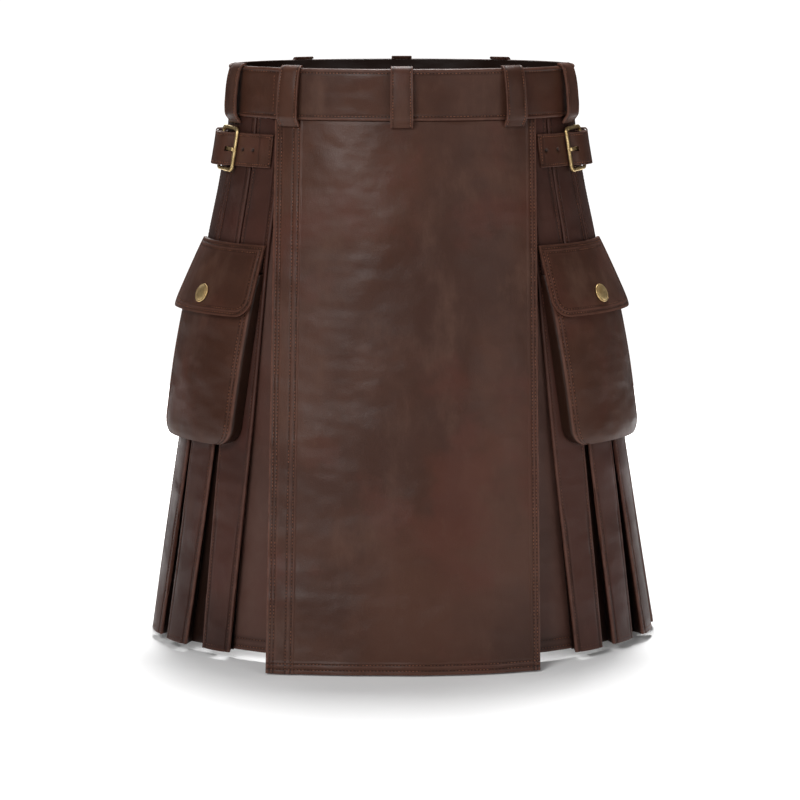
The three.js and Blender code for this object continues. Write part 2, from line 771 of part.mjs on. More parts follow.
// The whole bag, with a front, in one wall.
function closedBag(side) {
  const { wall: thick, backOut, bottomBend, bottomWall } = POCKET;
  const ringOf = (drop, inset) => {
    const half = pocketHalf(drop) - inset * (drop > bottomBend ? bottomWall : 1);
    const level = Math.min(drop, POCKET_BOTTOM - inset);
    const point = (share, out) => pocketPoint(side, share * half, level, out);
    const back = shares.map((share) => point(share, backOut + inset));
    const front = shares.map((share) => point(share, frontOut(drop, share) - inset));
    return [...back, ...front.reverse()];
  };
  const close = (ring) => [...ring, ring[0]];
  const outer = POCKET_REACH.map(({ drop }) => ringOf(drop, 0));
  const inner = POCKET_REACH.map(({ drop }) => ringOf(drop, thick));
  const skin = new Skin();
  skin.grid(outer.map(close));
  skin.backGrid(inner.map(close));
  skin.rim(close(outer[0]), close(inner[0]));
  const cap = (ring) => [
    ring.slice(0, POCKET.columns).reverse(),
    ring.slice(POCKET.columns),
  ];
  skin.backGrid(cap(outer.at(-1)));
  skin.grid(cap(inner.at(-1)));
  return skin.geometry();
}

// The flap's inner face slants out from the body over the pocket's mouth.
function flapPoint(side, share, drop, extra) {
  const { topDrop, hemDrop, topHalf, hemHalf, corner, topOut, hemOut } = FLAP;
  const down = (drop - topDrop) / (hemDrop - topDrop);
  const half = roundedHalf(mix(topHalf, hemHalf, down), corner, hemDrop - drop);
  return pocketPoint(side, share * half, drop, mix(topOut, hemOut, down ** 0.95) + extra);
}

function flap(side) {
  const rows = (extra) =>
    FLAP_DROPS.map((drop) => shares.map((share) => flapPoint(side, share, drop, extra)));
  return wall(rows(FLAP.thickness), rows(0));
}

function snapCap() {
  const { radius, height, segments } = SNAP;
  const profile = [
    [0, 0],
    [radius, 0],
    [radius, 0.9],
    [radius - 0.9, 1.9],
    [radius * 0.55, height - 0.25],
    [0, height],
  ].map(([x, y]) => new THREE.Vector2(x, y));
  return new THREE.LatheGeometry(profile, segments).rotateX(Math.PI / 2);
}

// A group whose frame is that of a surface of the kilt.
function seated(frame, ...meshes) {
  const group = new THREE.Group();
  frame.decompose(group.position, group.quaternion, group.scale);
  group.add(...meshes);
  return group;
}

const kilt = new THREE.Group();
const { leather, brass } = FINISH;
kilt.add(named("waistband", waistband(), leather));
kilt.add(named("apron", apron(), leather));
kilt.add(named("under_apron", underApron(), leather));
for (const { name, along } of LOOP_PLACES) {
  kilt.add(named(`belt_loop_${name}`, beltLoop(along), leather));
}
for (const [word, side] of [["left", -1], ["right", 1]]) {
  for (const panel of PANELS) {
    kilt.add(named(`pleats_${panel.place}_${word}`, pleatPanel(side, panel), leather));
  }
  kilt.add(named(`billet_${word}`, billet(side), leather));
  kilt.add(named(`chape_${word}`, chape(side), leather));
  kilt.add(named(`keeper_${word}`, keeper(side), leather));
  kilt.add(named(`pocket_bag_${word}`, pocketBag(side), leather));
  kilt.add(named(`pocket_front_${word}`, pocketFront(side), leather));
  kilt.add(named(`pocket_flap_${word}`, flap(side), leather));
  const buckle = named(`buckle_frame_${word}`, buckleFrame(), brass);
  kilt.add(seated(buckleAt(side), buckle, named(`buckle_prong_${word}`, prong(), brass)));
  const snapAt = frameOn(
    (a, b) => flapPoint(side, a / FLAP.hemHalf, SNAP.drop - b, FLAP.thickness + SEAM),
    side,
  );
  kilt.add(seated(snapAt, named(`snap_cap_${word}`, snapCap(), brass)));
}

export default kilt;
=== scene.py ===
"""Looks of a leather utility kilt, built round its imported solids.

Sizes are in millimetres until a mesh is made. "Drop" is the distance below the waistband's top
edge, "along" the distance round the body from the centre front, positive to +X, and "out" the
distance outwards from the body form, on which the pleats' faces lie.
"""

import logging
import math
from collections.abc import Callable
from dataclasses import dataclass, field
from enum import Enum

import bpy
import numpy as np
from mathutils import Matrix, Vector


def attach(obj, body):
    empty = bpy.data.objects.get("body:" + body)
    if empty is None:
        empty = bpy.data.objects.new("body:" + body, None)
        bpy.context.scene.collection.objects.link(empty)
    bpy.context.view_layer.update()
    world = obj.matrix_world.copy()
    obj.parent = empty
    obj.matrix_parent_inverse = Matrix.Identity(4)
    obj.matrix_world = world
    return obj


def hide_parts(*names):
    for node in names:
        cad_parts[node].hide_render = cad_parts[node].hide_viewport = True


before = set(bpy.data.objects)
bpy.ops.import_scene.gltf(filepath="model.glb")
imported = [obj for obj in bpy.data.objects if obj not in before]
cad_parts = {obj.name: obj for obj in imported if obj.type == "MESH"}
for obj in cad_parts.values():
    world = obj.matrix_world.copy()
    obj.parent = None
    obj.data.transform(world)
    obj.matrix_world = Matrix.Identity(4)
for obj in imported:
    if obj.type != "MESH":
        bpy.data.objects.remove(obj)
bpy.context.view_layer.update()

log = logging.getLogger("kilt")

MM = 0.001
WAIST_TOP = 26.25
WALL = 1.6
SIDES = {"left": -1, "right": 1}


class Slot(Enum):
    """The record's material slots."""

    APRON = "apron_leather"
    UNDER_APRON = "under_apron_leather"
    PLEATS = "pleat_leather"
    BAND = "band_leather"
    STRAP = "strap_leather"
    POCKET = "pocket_leather"
    BUCKLE = "buckle_brass"
    SNAP = "snap_brass"


# Finishes


@dataclass(frozen=True)
class LeatherFinish:
    """A pull-up leather: its colours, its gloss and how strong its marks are."""

    name: str
    dark: tuple[float, float, float] = (0.039, 0.0152, 0.0093)
    middle: tuple[float, float, float] = (0.060, 0.0243, 0.0148)
    pale: tuple[float, float, float] = (0.086, 0.042, 0.028)
    red: tuple[float, float, float] = (0.066, 0.0208, 0.0132)
    worn: tuple[float, float, float] = (0.112, 0.047, 0.032)
    rough: float = 0.42
    red_share: float = 0.35
    seed: float = 0.0
    # Near-black colour laid on as painted shade in stitch grooves, holes, creases and hidden inner faces.
    painted_shade: tuple[float, float, float] = (0.0085, 0.0036, 0.0022)
    gloss: float = 0.18


@dataclass(frozen=True)
class BrassFinish:
    """Antique brass, mottled between bright and brown."""

    name: str
    bright: tuple[float, float, float] = (0.80, 0.60, 0.30)
    brown: tuple[float, float, float] = (0.50, 0.355, 0.165)
    rough: float = 0.36


@dataclass(frozen=True)
class ThreadFinish:
    """Waxed thread."""

    name: str
    colour: tuple[float, float, float] = (0.170, 0.066, 0.038)
    rough: float = 0.6
    gloss: float = 0.1


class Nodes:
    """Builds the nodes of one material."""

    def __init__(self, name: str) -> None:
        """Starts a material with a Principled shader.

        Args:
            name: The material's name.
        """
        self.material = bpy.data.materials.new(name)
        self.material.use_nodes = True
        self.tree = self.material.node_tree
        self.shader = self.tree.nodes["Principled BSDF"]
        self.place = self.tree.nodes.new("ShaderNodeTexCoord").outputs["Object"]

    def link(self, source: bpy.types.NodeSocket, target: bpy.types.NodeSocket) -> None:
        """Joins two sockets."""
        self.tree.links.new(source, target)

    def noise(self, scale: float, detail: float = 3, rough: float = 0.55, seed: float = 0,
              stretch: tuple[float, float, float] = (1, 1, 1)) -> bpy.types.NodeSocket:
        """Adds a noise pattern on the object's own coordinates.

        Args:
            scale: Features per metre.
            detail: Octaves.
            rough: How strong the small octaves are.
            seed: Moves the pattern.
            stretch: Scale of each axis.

        Returns:
            The pattern's value, about 0.5.
        """
        mapping = self.tree.nodes.new("ShaderNodeMapping")
        mapping.inputs["Location"].default_value = (seed, seed * 0.7, -seed)
        mapping.inputs["Scale"].default_value = stretch
        self.link(self.place, mapping.inputs["Vector"])
        node = self.tree.nodes.new("ShaderNodeTexNoise")
        node.inputs["Scale"].default_value = scale
        node.inputs["Detail"].default_value = detail
        node.inputs["Roughness"].default_value = rough
        self.link(mapping.outputs["Vector"], node.inputs["Vector"])
        return node.outputs["Fac"]

    def cells(self, scale: float) -> bpy.types.NodeSocket:
        """Adds a grain of cells and returns the distance to their edges."""
        node = self.tree.nodes.new("ShaderNodeTexVoronoi")
        node.feature = "DISTANCE_TO_EDGE"
        node.inputs["Scale"].default_value = scale
        self.link(self.place, node.inputs["Vector"])
        return node.outputs["Distance"]

    def ranged(self, value: bpy.types.NodeSocket, low: float, high: float, to_low: float = 0,
               to_high: float = 1) -> bpy.types.NodeSocket:
        """Maps a value smoothly from one range to another.

        Args:
            value: The value.
            low: Where the range starts.
            high: Where it ends.
            to_low: The result at low.
            to_high: The result at high.

        Returns:
            The result.
        """
        node = self.tree.nodes.new("ShaderNodeMapRange")
        node.interpolation_type = "SMOOTHSTEP"
        for name, number in (("From Min", low), ("From Max", high), ("To Min", to_low), ("To Max", to_high)):
            node.inputs[name].default_value = number
        self.link(value, node.inputs["Value"])
        return node.outputs["Result"]

    def attribute(self, name: str) -> bpy.types.NodeSocket:
        """Returns a mesh attribute's value."""
        node = self.tree.nodes.new("ShaderNodeAttribute")
        node.attribute_name = name
        return node.outputs["Fac"]

    def product(self, *values: bpy.types.NodeSocket | float, kind: str = "MULTIPLY") -> bpy.types.NodeSocket:
        """Multiplies values, or joins them by another kind of Math node."""
        result = values[0]
        for value in values[1:]:
            node = self.tree.nodes.new("ShaderNodeMath")
            node.operation = kind
            for socket, part in zip(node.inputs, (result, value)):
                if isinstance(part, (int, float)):
                    socket.default_value = part
                else:
                    self.link(part, socket)
            result = node.outputs[0]
        return result

    def blend(self, share: bpy.types.NodeSocket, first: object, second: object) -> bpy.types.NodeSocket:
        """Mixes two colours.

        Args:
            share: 0 for the first, 1 for the second.
            first: A colour or a colour socket.
            second: A colour or a colour socket.

        Returns:
            The mixed colour.
        """
        node = self.tree.nodes.new("ShaderNodeMix")
        node.data_type = "RGBA"
        self.link(share, node.inputs["Factor"])
        for socket, part in ((node.inputs[6], first), (node.inputs[7], second)):
            if isinstance(part, tuple):
                socket.default_value = (*part, 1)
            else:
                self.link(part, socket)
        return node.outputs[2]

    def bump(self, layers: list[tuple[bpy.types.NodeSocket, float, float]]) -> None:
        """Adds bump layers to the shader.

        Args:
            layers: Each layer's height, strength and depth in metres.
        """
        normal = None
        for height, strength, depth in layers:
            node = self.tree.nodes.new("ShaderNodeBump")
            node.inputs["Strength"].default_value = strength
            node.inputs["Distance"].default_value = depth
            self.link(height, node.inputs["Height"])
            if normal:
                self.link(normal, node.inputs["Normal"])
            normal = node.outputs["Normal"]
        self.link(normal, self.shader.inputs["Normal"])


class Dye:
    """Makes each finish's material once."""

    PAINTED_SHADE_STRENGTH = 0.92

    made: dict[str, bpy.types.Material] = {}

    @classmethod
    def leather(cls, finish: LeatherFinish) -> bpy.types.Material:
        """Makes a leather material, with painted shade where its mesh is marked for it.

        Args:
            finish: Its colours and gloss.

        Returns:
            The material.
        """
        if finish.name in cls.made:
            return cls.made[finish.name]
        n = Nodes(finish.name)
        clouds = n.noise(7, 4, 0.6, finish.seed)
        rubs = n.noise(16, 5, 0.65, finish.seed + 3, (1, 1, 0.45))
        creases = n.noise(75, 4, 0.7, finish.seed + 5, (1, 1, 0.6))
        pores = n.noise(420, 2, 0.5, finish.seed)
        grain = n.cells(620)
        colour = n.blend(n.ranged(clouds, 0.36, 0.64), finish.dark, finish.middle)
        colour = n.blend(n.ranged(rubs, 0.5, 0.74, 0, 0.6), colour, finish.pale)
        red_rubs = n.ranged(n.noise(10, 4, 0.6, finish.seed + 9), 0.5, 0.66, 0, finish.red_share)
        colour = n.blend(red_rubs, colour, finish.red)
        colour = n.blend(n.ranged(creases, 0.56, 0.74, 0, 0.16), colour, finish.pale)
        patches = n.ranged(n.noise(130, 3, 0.6, finish.seed + 2), 0.3, 0.62, 0.35, 1)
        colour = n.blend(n.product(n.attribute("wear"), patches), colour, finish.worn)
        # Painted shade: blends the colour towards the finish's near-black where the mesh marks it.
        painted_shade = n.product(n.attribute("painted_shade"), cls.PAINTED_SHADE_STRENGTH)
        colour = n.blend(painted_shade, colour, finish.painted_shade)
        n.link(colour, n.shader.inputs["Base Color"])
        rough = n.ranged(rubs, 0.35, 0.7, finish.rough - 0.06, finish.rough + 0.12)
        n.link(rough, n.shader.inputs["Roughness"])
        n.shader.inputs["Specular IOR Level"].default_value = finish.gloss
        swells = n.noise(13, 2, 0.45, finish.seed + 12, (1, 1, 1.7))
        n.bump([(swells, 0.6, 0.011), (clouds, 0.4, 0.004), (creases, 0.35, 0.001), (pores, 0.18, 0.0003),
                (n.ranged(grain, 0, 0.25), 0.2, 0.0002)])
        cls.made[finish.name] = n.material
        return n.material

    @classmethod
    def brass(cls, finish: BrassFinish) -> bpy.types.Material:
        """Makes an antique brass material.

        Args:
            finish: Its colours and gloss.

        Returns:
            The material.
        """
        if finish.name in cls.made:
            return cls.made[finish.name]
        n = Nodes(finish.name)
        stains = n.noise(120, 3, 0.5)
        colour = n.blend(n.ranged(stains, 0.36, 0.62), finish.brown, finish.bright)
        n.link(colour, n.shader.inputs["Base Color"])
        n.shader.inputs["Metallic"].default_value = 1
        n.link(n.ranged(stains, 0.3, 0.7, finish.rough + 0.1, finish.rough), n.shader.inputs["Roughness"])
        n.bump([(n.noise(700, 2), 0.08, 0.0002)])
        cls.made[finish.name] = n.material
        return n.material

    @classmethod
    def thread(cls, finish: ThreadFinish) -> bpy.types.Material:
        """Makes a waxed thread material.

        Args:
            finish: Its colour and gloss.

        Returns:
            The material.
        """
        if finish.name in cls.made:
            return cls.made[finish.name]
        n = Nodes(finish.name)
        dirt = n.noise(90, 3)
        dull = tuple(0.35 * part for part in finish.colour)
        n.link(n.blend(n.ranged(dirt, 0.35, 0.6), dull, finish.colour), n.shader.inputs["Base Color"])
        n.shader.inputs["Roughness"].default_value = finish.rough
        n.shader.inputs["Specular IOR Level"].default_value = finish.gloss
        n.bump([(n.noise(2600, 1), 0.4, 0.0002)])
        cls.made[finish.name] = n.material
        return n.material


THREAD = ThreadFinish("thread_rust")
FINE_THREAD = ThreadFinish("thread_brown", (0.130, 0.052, 0.032))
BUCKLE_BRASS = BrassFinish("brass_buckle")
SNAP_BRASS = BrassFinish("brass_snap", (0.92, 0.68, 0.33), (0.62, 0.42, 0.19), 0.36)


# The body form that all the leather hangs on


@dataclass(frozen=True)
class FormRow:
    """The body form at one drop: half its width and its depth to the front and back."""

    drop: float
    half_width: float
    front: float
    back: float


@dataclass(frozen=True)
class PleatRow:
    """The pleats at one drop: gap between faces, depth, tuck and the first one's start angle."""

    drop: float
    gap: float
    depth: float
    tuck: float
    start: float


@dataclass(frozen=True)
class ReachRow:
    """How far a pocket's front stands out at one drop."""

    drop: float
    reach: float


FORM_ROWS = (
    FormRow(0, 180.5, 121, 124),
    FormRow(55, 183.5, 124, 129),
    FormRow(119, 193.5, 132, 141),
    FormRow(187, 207.5, 141, 155),
    FormRow(400, 240.5, 170, 188),
    FormRow(600, 271.5, 200, 214),
)
PLEAT_ROWS = (
    PleatRow(55, 0.9, 4.6, 9, 41.8),
    PleatRow(250, 1.4, 5.2, 9, 41),
    PleatRow(400, 7, 9, 8, 40.2),
    PleatRow(600, 19, 15, 6.5, 39.5),
)


def table_at(rows: tuple, drop: np.ndarray | float, column: str) -> np.ndarray:
    """Reads a column of a table at a drop, on a smooth curve with no overshoot.

    Args:
        rows: The table's rows, in order of drop.
        drop: One drop or an array of them.
        column: The column's name.

    Returns:
        The value at each drop.
    """
    x = np.array([row.drop for row in rows], float)
    y = np.array([getattr(row, column) for row in rows], float)
    slopes = np.diff(y) / np.diff(x)
    tangents = np.empty_like(y)
    tangents[0], tangents[-1] = slopes[0], slopes[-1]
    before, after = slopes[:-1], slopes[1:]
    total = np.where(before + after == 0, 1, before + after)
    tangents[1:-1] = np.where(before * after <= 0, 0, 2 * before * after / total)
    i = np.clip(np.searchsorted(x, drop) - 1, 0, len(x) - 2)
    span = x[i + 1] - x[i]
    t = (drop - x[i]) / span
    return (y[i] * (1 + 2 * t) * (1 - t) ** 2 + y[i + 1] * t * t * (3 - 2 * t)
            + tangents[i] * span * t * (1 - t) ** 2 - tangents[i + 1] * span * t * t * (1 - t))


def smooth(share: np.ndarray | float) -> np.ndarray:
    """Eases a share from 0 to 1."""
    t = np.clip(share, 0, 1)
    return t * t * (3 - 2 * t)


class BodyForm:
    """The smooth form that the worn kilt takes, and places on it."""

    STEP = 4.0
    ANGLES = 720

    def __init__(self) -> None:
        """Measures the outline at even steps of drop."""
        self.drops = np.arange(-12, 624, self.STEP)
        middle = (np.arange(self.ANGLES) + 0.5) * math.pi / self.ANGLES
        half_width, front, back = (table_at(FORM_ROWS, self.drops, name)[:, None]
                                   for name in ("half_width", "front", "back"))
        depth = np.where(middle < math.pi / 2, front, back)
        speed = np.hypot(half_width * np.cos(middle), depth * np.sin(middle)) * math.pi / self.ANGLES
        self.lengths = np.concatenate([np.zeros((len(self.drops), 1)), np.cumsum(speed, axis=1)], axis=1)
        shares = np.linspace(0, 1, self.ANGLES + 1)
        angles = np.linspace(0, math.pi, self.ANGLES + 1)
        self.angles = np.array([np.interp(shares, row / row[-1], angles) for row in self.lengths])

    def half(self, drop: np.ndarray | float) -> np.ndarray:
        """Returns half the outline's length at a drop."""
        return np.interp(drop, self.drops, self.lengths[:, -1])

    def angle(self, drop: np.ndarray | float, along: np.ndarray | float) -> np.ndarray:
        """Finds the form's angle at a distance along its outline.

        Args:
            drop: Drops.
            along: Distances from the centre front.

        Returns:
            Angles in radians, 0 at the centre front, positive to +X.
        """
        drop, along = np.broadcast_arrays(np.asarray(drop, float), np.asarray(along, float))
        half = self.half(drop)
        near = along - 2 * half * np.round(along / (2 * half))
        column = np.clip(np.abs(near) / half, 0, 1) * self.ANGLES
        row = np.clip((drop - self.drops[0]) / self.STEP, 0, len(self.drops) - 1.001)
        r, c = row.astype(int), np.minimum(column.astype(int), self.ANGLES - 1)
        fr, fc = row - r, column - c
        low = self.angles[r, c] * (1 - fc) + self.angles[r, c + 1] * fc
        high = self.angles[r + 1, c] * (1 - fc) + self.angles[r + 1, c + 1] * fc
        return np.where(near < 0, -1, 1) * (low * (1 - fr) + high * fr)

    def along(self, drop: float, degrees: float) -> float:
        """Returns the distance along the outline to an angle in degrees."""
        row = [np.interp(drop, self.drops, self.lengths[:, c])
               for c in (int(degrees * 4), min(int(degrees * 4) + 1, self.ANGLES))]
        share = degrees * 4 - int(degrees * 4)
        return float(row[0] * (1 - share) + row[1] * share)

    @staticmethod
    def at_angle(drop: np.ndarray | float, angle: np.ndarray | float, out: np.ndarray | float) -> np.ndarray:
        """Finds a point of the form, moved outwards.

        Args:
            drop: Drops.
            angle: Angles in radians.
            out: Distances outwards.

        Returns:
            Points in millimetres, with x, y and z last.
        """
        drop, angle, out = np.broadcast_arrays(*(np.asarray(x, float) for x in (drop, angle, out)))
        half_width = table_at(FORM_ROWS, drop, "half_width")
        depth = np.where(np.abs(angle) < math.pi / 2, table_at(FORM_ROWS, drop, "front"),
                         table_at(FORM_ROWS, drop, "back"))
        nx, ny = depth * np.sin(angle), -half_width * np.cos(angle)
        size = np.hypot(nx, ny)
        return np.stack([half_width * np.sin(angle) + nx / size * out,
                         -depth * np.cos(angle) + ny / size * out, WAIST_TOP - drop], axis=-1)

    def at(self, drop: np.ndarray | float, along: np.ndarray | float, out: np.ndarray | float) -> np.ndarray:
        """Finds a point at a drop and a distance along, moved outwards."""
        return self.at_angle(drop, self.angle(drop, along), out)


FORM = BodyForm()


def waves(x: np.ndarray, y: np.ndarray, seed: float, size: float) -> np.ndarray:
    """Makes soft, repeatable unevenness.

    Args:
        x: One coordinate in millimetres.
        y: The other.
        seed: Picks the pattern.
        size: Its height.

    Returns:
        Heights about zero.
    """
    first = np.sin(x / 31 + 1.7 * seed) * np.cos(y / 83 + 2.3 * seed)
    second = np.sin(y / 47 + 0.9 * seed + x / 67)
    third = 0.5 * np.sin(x / 13 + y / 29 + 3.1 * seed)
    return size * (first + second + third) / 2.5


# Making meshes


def offset_line(points: np.ndarray, distance: float) -> np.ndarray:
    """Moves a flat line sideways with mitred corners.

    Args:
        points: The line's points, x and y.
        distance: How far: a line that runs along +x moves towards -y.

    Returns:
        The moved points.
    """
    steps = np.diff(points, axis=0)
    across = np.stack([steps[:, 1], -steps[:, 0]], axis=1)
    across /= np.linalg.norm(across, axis=1, keepdims=True)
    before, after = np.vstack([across[:1], across]), np.vstack([across, across[-1:]])
    unit = before + after
    unit /= np.linalg.norm(unit, axis=1, keepdims=True)
    mitre = np.maximum(0.5, (unit * before).sum(axis=1))
    return points + unit * (distance / mitre)[:, None]


def resampled(points: np.ndarray, step: float) -> np.ndarray:
    """Puts even points on a smooth curve through the given ones.

    Args:
        points: Points in two or three dimensions.
        step: The distance between the new points.

    Returns:
        The new points.
    """
    lengths = np.concatenate([[0], np.cumsum(np.linalg.norm(np.diff(points, axis=0), axis=1))])
    count = max(2, int(math.ceil(lengths[-1] / step)) + 1)
    wanted = np.linspace(0, lengths[-1], count)
    tangents = np.gradient(points, lengths, axis=0)
    i = np.clip(np.searchsorted(lengths, wanted) - 1, 0, len(lengths) - 2)
    span = (lengths[i + 1] - lengths[i])[:, None]
    t = ((wanted - lengths[i]) / (lengths[i + 1] - lengths[i]))[:, None]
    return (points[i] * (1 + 2 * t) * (1 - t) ** 2 + points[i + 1] * t * t * (3 - 2 * t)
            + tangents[i] * span * t * (1 - t) ** 2 - tangents[i + 1] * span * t * t * (1 - t))


@dataclass
class Wall:
    """A wall of leather between two grids of points, with marks for its wear and its painted shade."""

    name: str
    front: np.ndarray
    back: np.ndarray
    marks: dict[str, np.ndarray] = field(default_factory=dict)
    ring: bool = False
    capped: bool = False
    missing: np.ndarray | None = None
    bevel: float = 0.45

    def faces(self) -> np.ndarray:
        """Lists the wall's faces: both grids, and a rim at each open edge.

        Returns:
            Four vertex numbers for each face.
        """
        rows, columns = self.front.shape[:2]
        number = np.arange(rows * columns).reshape(rows, columns)
        if self.ring:
            number = np.hstack([number, number[:, :1]])
        present = np.ones((rows - 1, number.shape[1] - 1), bool)
        if self.missing is not None:
            present &= ~self.missing
        a, b, c, d = number[:-1, :-1], number[:-1, 1:], number[1:, 1:], number[1:, :-1]
        total = rows * columns
        front = np.stack([x[present] for x in (a, b, c, d)], axis=1)
        padded = np.pad(present, 1)
        if self.ring:
            padded[1:-1, 0], padded[1:-1, -1] = present[:, -1], present[:, 0]
        if self.capped:
            padded[-1, :] = True
        quads = [front, front[:, ::-1] + total]
        for start, end, beyond in ((a, b, padded[:-2, 1:-1]), (b, c, padded[1:-1, 2:]),
                                   (c, d, padded[2:, 1:-1]), (d, a, padded[1:-1, :-2])):
            edge = present & ~beyond
            p, q = start[edge], end[edge]
            quads.append(np.stack([q, p, p + total, q + total], axis=1))
        return np.vstack(quads)

    def build(self) -> bpy.types.Object:
        """Makes the mesh object, shaded smooth with its sharp edges softened by a small bevel."""
        points = np.vstack([self.front.reshape(-1, 3), self.back.reshape(-1, 3)]) * MM
        quads = self.faces().tolist()
        if self.capped:
            rows, columns = self.front.shape[:2]
            last = list(range((rows - 1) * columns, rows * columns))
            quads += [last, [number + rows * columns for number in last[::-1]]]
        mesh = bpy.data.meshes.new(self.name)
        mesh.from_pydata(points.tolist(), [], quads)
        for mark in ("wear", "painted_shade"):
            values = self.marks.get(mark, np.zeros(self.front.shape[:2]))
            layer = mesh.attributes.new(mark, "FLOAT", "POINT")
            layer.data.foreach_set("value", np.tile(np.clip(values, 0, 1).ravel(), 2).astype(np.float32))
        made = bpy.data.objects.new(self.name, mesh)
        bpy.context.scene.collection.objects.link(made)
        face_outwards(made)
        if self.bevel:
            soften(made, self.bevel)
        return made


def face_outwards(piece: bpy.types.Object) -> None:
    """Turns a closed mesh's faces outwards if its volume is negative."""
    mesh = piece.data
    mesh.calc_loop_triangles()
    points = np.empty(len(mesh.vertices) * 3)
    mesh.vertices.foreach_get("co", points)
    corners = np.empty(len(mesh.loop_triangles) * 3, int)
    mesh.loop_triangles.foreach_get("vertices", corners)
    a, b, c = points.reshape(-1, 3)[corners.reshape(-1, 3)].transpose(1, 0, 2)
    if np.einsum("ij,ij->i", a, np.cross(b, c)).sum() < 0:
        mesh.flip_normals()


def pick(piece: bpy.types.Object) -> None:
    """Selects one object alone and makes it active."""
    bpy.ops.object.select_all(action="DESELECT")
    piece.select_set(True)
    bpy.context.view_layer.objects.active = piece


def soften(piece: bpy.types.Object, width: float, segments: int = 2, angle: float = 50) -> None:
    """Bevels a piece's sharp edges and shades it smooth.

    Args:
        piece: The object.
        width: The bevel's width in millimetres.
        segments: Its segments.
        angle: Edges sharper than this are bevelled, in degrees.
    """
    pick(piece)
    bevel = piece.modifiers.new("bevel", "BEVEL")
    bevel.width, bevel.segments = width * MM, segments
    bevel.limit_method, bevel.angle_limit = "ANGLE", math.radians(angle)
    bpy.ops.object.modifier_apply(modifier=bevel.name)
    bpy.ops.object.shade_smooth_by_angle(angle=math.radians(55))


def dress(piece: bpy.types.Object, material: bpy.types.Material, slot: Slot, *nodes: str) -> bpy.types.Object:
    """Gives a piece its material and its body, and hides the nodes it stands for.

    Args:
        piece: The object.
        material: Its material.
        slot: Not used.
        nodes: The solids that it replaces.

    Returns:
        The piece.
    """
    piece.data.materials.clear()
    piece.data.materials.append(material)
    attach(piece, "root")
    if nodes:
        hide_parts(*nodes)
    return piece


@dataclass
class Seam:
    """Rows of stitches that make one mesh."""

    name: str
    pitch: float = 3.6
    length: float = 2.2
    radius: float = 0.5
    lift: float = 0.05
    rows: list[np.ndarray] = field(default_factory=list)

    SIDES = 5
    SIGHT = 1.0
    PROFILE = ((-0.5, 0.35), (-0.28, 0.95), (0.28, 0.95), (0.5, 0.35))

    def along(self, points: np.ndarray, outward: np.ndarray) -> None:
        """Adds a row of stitches.

        Args:
            points: The row's line on the leather, in millimetres.
            outward: The direction out of the leather at each point.
        """
        lengths = np.concatenate([[0], np.cumsum(np.linalg.norm(np.diff(points, axis=0), axis=1))])
        count = int(lengths[-1] / self.pitch)
        if count < 1:
            return
        wanted = (np.arange(count) + 0.5) * lengths[-1] / count
        middle, normal, ahead, behind = (
            np.stack([np.interp(wanted + shift, lengths, values[:, k]) for k in range(3)], 1)
            for values, shift in ((points, 0), (outward, 0), (points, self.SIGHT), (points, -self.SIGHT)))
        forward = ahead - behind
        forward /= np.linalg.norm(forward, axis=1, keepdims=True)
        normal /= np.linalg.norm(normal, axis=1, keepdims=True)
        self.rows.append(np.stack([middle, forward, normal], axis=1))

    def build(self, finish: ThreadFinish, slot: Slot) -> bpy.types.Object:
        """Makes the stitches' mesh.

        Args:
            finish: The thread.
            slot: The record's material slot.

        Returns:
            The object.
        """
        stitches = np.vstack(self.rows)
        middle, forward, normal = stitches[:, 0], stitches[:, 1], stitches[:, 2]
        side = np.cross(forward, normal)
        side /= np.linalg.norm(side, axis=1, keepdims=True)
        up = np.cross(side, forward)
        turns = np.arange(self.SIDES) * 2 * math.pi / self.SIDES
        rings = [middle[:, None] + up[:, None] * self.lift
                 + forward[:, None] * (share * self.length)
                 + self.radius * size * (np.cos(turns)[None, :, None] * side[:, None]
                                         + 0.75 * np.sin(turns)[None, :, None] * up[:, None])
                 for share, size in self.PROFILE]
        points = np.stack(rings, axis=1).reshape(-1, 3) * MM
        faces = []
        count, step = len(self.PROFILE), self.SIDES
        corners = ((0, 0), (0, 1), (1, 1), (1, 0))
        pattern = [[(r + down) * step + (k + on) % step for down, on in corners]
                   for r in range(count - 1) for k in range(step)]
        pattern += [list(range(step))[::-1], list(range((count - 1) * step, count * step))]
        for start in range(0, len(points), count * step):
            faces += [[start + v for v in quad] for quad in pattern]
        mesh = bpy.data.meshes.new(self.name)
        mesh.from_pydata(points.tolist(), [], faces)
        mesh.polygons.foreach_set("use_smooth", [True] * len(mesh.polygons))
        made = bpy.data.objects.new(self.name, mesh)
        bpy.context.scene.collection.objects.link(made)
        face_outwards(made)
        return dress(made, Dye.thread(finish), slot)


# The aprons


